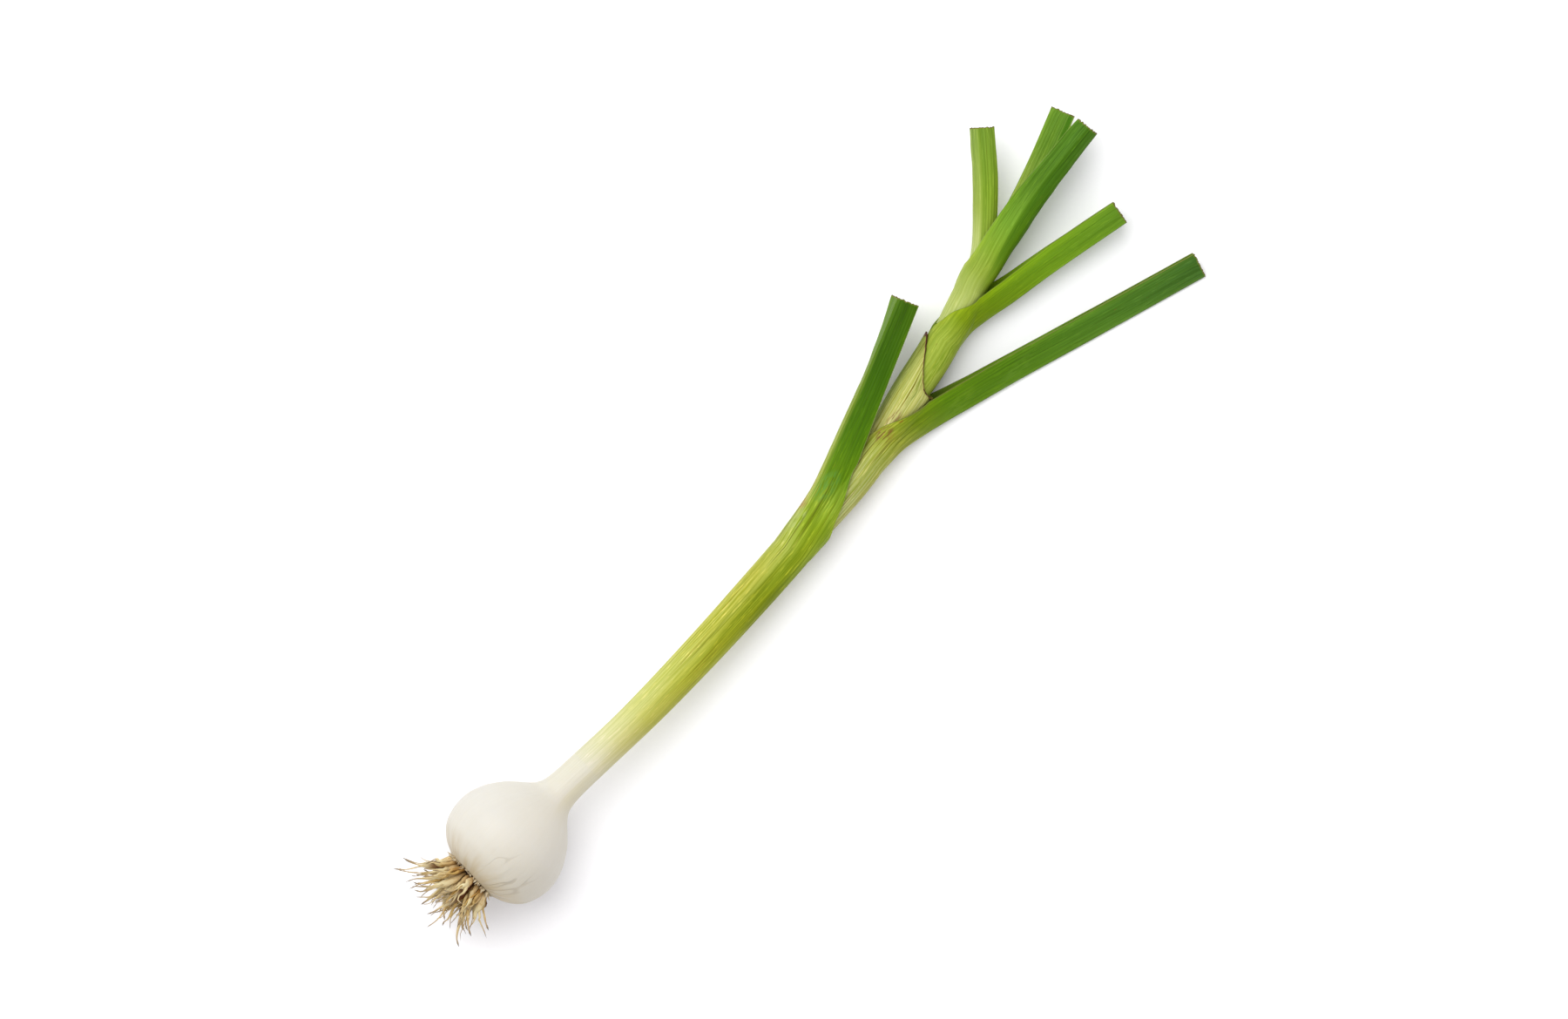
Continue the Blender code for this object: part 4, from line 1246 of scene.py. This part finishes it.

# %% [markdown]
# ## The white skin of the bulb
#
# Fresh garlic skin is creamy rather than white, satin, and a little translucent, so light spreads under
# it. It is warmer and yellower at the roots, where wrinkles catch a beige shade, and towards the neck
# it takes on the first colours of the stem. Its two rows of colours end in the stops of the first leaf,
# one row exactly and the other nearly, so the finish runs on over the joint almost without a line.

# %% The bulb's finish


def bulb_finish():
    """Cream skin over the whole bulb, wrinkled and stained where it meets the roots."""
    material, tree, shader, place = new_finish("bulb_finish")
    x, grain = place[0], attribute(tree, "grain")
    side = fade(tree, attribute(tree, "side", "Fac"), 0.0, 0.95)
    shaded = along_plant(tree, x, [
        (-20, (224, 213, 188)), (-12, (230, 223, 204)), (4, (240, 235, 221)), (20, (243, 237, 221)),
        (36, (243, 238, 218)), (50, (226, 222, 156))])
    lit = along_plant(tree, x, [
        (-20, (230, 221, 198)), (-12, (235, 230, 215)), (4, (236, 233, 222)), (20, (237, 233, 219)),
        (36, (238, 235, 212)), (50, (228, 229, 164))])
    colour = mixed(tree, side, lit, shaded)
    veins = grouped(tree, VEINS, {"Grain": grain})
    depth = amount_along(tree, x, [(20, 0.0), (60, 0.4)])
    dark = times(tree, veins["Fine"], maths(tree, "ADD", depth, 0.03))
    colour = toned(tree, dark, colour, tint(204, 200, 168))
    # painted shade along the neck's side away from the lamp
    colour = painted_neck_shade(tree, colour, grain, x)
    from_roots = parts(tree, attribute(tree, "edges"))[0]
    near_roots = fade(tree, from_roots, 0.0, 9.0, 1.0, 0.0)
    puckered = streaky(tree, grain, 0.12, 1.3, 3.0)
    stain = times(tree, near_roots, fade(tree, puckered, 0.35, 0.65, 0.3, 0.85))
    colour = mixed(tree, stain, colour, paint(214, 196, 158))
    under = fade(tree, place[1], -6 * MM, 4 * MM, 1.0, 0.0)
    folded = times(tree, under, fade(tree, from_roots, 6.0, 20.0, 1.0, 0.0))
    ridge = maths(tree, "ABSOLUTE", maths(tree, "SUBTRACT", streaky(tree, grain, 0.07, 0.62, 1.0), 0.5))
    crease = times(tree, folded, fade(tree, ridge, 0.0, 0.03, 1.0, 0.0))
    # painted shade: the creases found above, near the roots on the side away from the lamp, are
    # darkened in colour
    colour = mixed(tree, times(tree, crease, 0.45), colour, paint(190, 176, 150))
    dressed(tree, shader, colour, fade(tree, puckered, 0.2, 0.8, 0.42, 0.55), 0.35)
    shader.inputs["Subsurface Weight"].default_value = 0.15
    shader.inputs["Subsurface Radius"].default_value = (1.0, 0.8, 0.5)
    shader.inputs["Subsurface Scale"].default_value = 2 * MM
    wrinkled = times(tree, puckered, fade(tree, folded, 0.0, 1.0, 0.25, 1.0))
    height = maths(tree, "ADD", times(tree, veins["Fine"], 0.1), wrinkled)
    height = maths(tree, "SUBTRACT", height, times(tree, crease, 0.5))
    raised(tree, shader, height, 0.45, 0.7)
    return material


bulb_skin.data.materials.append(bulb_finish())

# %% [markdown]
# ## Dry roots
#
# A dry root is tan, lighter where it is thick and greyish brown at its thin tip, and no two have quite
# the same tone. Down between them, and on the strands that lie lowest, painted shade makes them dark
# brown. Each strand carries a tone of its own and how far along it a point is, and the finish reads
# both.

# %% The roots' finish


def root_finish():
    """Tan roots, dark at their feet and grey at their tips, each with a tone of its own, with painted
    shade on the lowest strands and between them.
    """
    material, tree, shader, place = new_finish("root_finish")
    reach, tone = attribute(tree, "reach", "Fac"), attribute(tree, "tone", "Fac")
    stops = [
        (0.0, (110, 74, 28)), (0.05, (206, 166, 104)), (0.12, (255, 226, 168)),
        (0.30, (255, 242, 192)), (0.40, (255, 234, 180)), (0.48, (206, 182, 144)),
        (0.54, (128, 118, 108)), (0.60, (206, 172, 118)), (0.78, (232, 214, 176)),
        (1.0, (240, 228, 200)),
    ]
    shadow = times(tree, tone, fade(tree, reach, 0.1, 0.6, 0.06, 0.0))
    share = maths(tree, "DIVIDE", maths(tree, "SUBTRACT", reach, shadow), 1.85)
    colour = ramp(tree, share, [(at, paint(*screen)) for at, screen in stops])
    # darker strands: partly their own tone, partly painted shade standing in for the gaps between roots
    deep = times(tree, fade(tree, tone, 0.5, 0.85), fade(tree, reach, 0.5, 0.85, 1.0, 0.3))
    colour = toned(tree, deep, colour, tint(216, 192, 142))
    # painted shade towards the feet of the strands that lie lowest and of some picked by their tone
    near_table = fade(tree, place[2], 16 * MM, 27 * MM, 1.0, 0.0)
    low = maths(tree, "MAXIMUM", near_table, fade(tree, tone, 0.2, 0.28, 1.0, 0.0))
    painted_shade_low = times(tree, low, fade(tree, reach, 0.4, 0.75, 1.0, 0.0))
    colour = toned(tree, painted_shade_low, colour, tint(108, 62, 16))
    fibres = streaky(tree, attribute(tree, "grain"), 0.25, 2.0, 2.0)
    colour = toned(tree, fade(tree, fibres, 0.45, 0.75), colour, tint(214, 190, 146))
    dressed(tree, shader, colour, fade(tree, fibres, 0.2, 0.8, 0.55, 0.85), 0.3)
    raised(tree, shader, fibres, 0.1, 0.6)
    return material


root_tuft.data.materials.append(root_finish())

# %% [markdown]
# ## Table, light and camera
#
# The plant lies on a plain white surface under one large soft light from its left, with the rest of
# the room just as white, so shadows are soft and grey and colours stay true. The camera looks straight
# down from far above with a long lens, turned so that the plant runs up to the right.

# %% The table
TABLE_SIZE, TABLE_LEVEL = 4.0, -0.05 * MM
table_mesh = bmesh.new()
bmesh.ops.create_grid(table_mesh, x_segments=1, y_segments=1, size=TABLE_SIZE)
bmesh.ops.translate(table_mesh, vec=(0, 0, TABLE_LEVEL), verts=table_mesh.verts)
table = add_piece(table_mesh, "table")
paper, paper_tree, paper_shader, _ = new_finish("table_finish")
paper_place = paper_tree.nodes.new("ShaderNodeTexCoord").outputs["Object"]
grainy = cloud(paper_tree, paper_place, 900.0, 2.0)
paper_white = mixed(paper_tree, grainy, tint(247, 247, 248), tint(250, 250, 250))
paper_tree.links.new(paper_white, paper_shader.inputs["Base Color"])
paper_shader.inputs["Roughness"].default_value = 0.9
paper_shader.inputs["Specular IOR Level"].default_value = 0.1
table.data.materials.append(paper)

# %% Light
LIGHT_HEIGHT = math.radians(60)
LIGHT_FROM = Vector((0.16, 1.0, 0)).normalized() * math.cos(LIGHT_HEIGHT)
LIGHT_FROM += Vector((0, 0, math.sin(LIGHT_HEIGHT)))
LIGHT_DISTANCE, LIGHT_SIZE, LIGHT_POWER = 1.5, 1.7, 21.0
ROOM_COLOUR, ROOM_STRENGTH = (0.985, 0.97, 1.0, 1.0), 0.84
middle = Vector((0.14, 0.0, 0.01))
lamp_data = bpy.data.lights.new("window", "AREA")
lamp_data.shape = "DISK"
lamp_data.size = LIGHT_SIZE
lamp_data.energy = LIGHT_POWER
lamp = bpy.data.objects.new("window", lamp_data)
lamp.location = middle + LIGHT_FROM * LIGHT_DISTANCE
lamp.rotation_euler = LIGHT_FROM.to_track_quat("Z", "Y").to_euler()
bpy.context.scene.collection.objects.link(lamp)
room = bpy.data.worlds.new("room")
room.use_nodes = True
walls = room.node_tree.nodes["Background"].inputs
walls["Color"].default_value, walls["Strength"].default_value = ROOM_COLOUR, ROOM_STRENGTH
bpy.context.scene.world = room
bpy.context.scene.view_settings.view_transform = "Standard"
print("light from", [round(value, 2) for value in lamp.location])

# %% Camera
PICTURE_WIDTH = 540.0   # what the picture shows across, in millimetres
PICTURE_MIDDLE = Vector((147.5, 0.5, 10.0))
PICTURE_TURN = math.radians(-50)
LENS, SENSOR = 200.0, 36.0
camera_data = bpy.data.cameras.new("camera")
camera_data.lens = LENS
camera_data.sensor_width = SENSOR
camera_data.clip_end = 20.0
camera = bpy.data.objects.new("camera", camera_data)
height = PICTURE_WIDTH * LENS / SENSOR
camera.location = (PICTURE_MIDDLE + Vector((0, 0, height))) * MM
camera.rotation_euler = (0, 0, PICTURE_TURN)
bpy.context.scene.collection.objects.link(camera)
bpy.context.scene.camera = camera
print("camera", round(height / 1000, 2), "m above the plant")
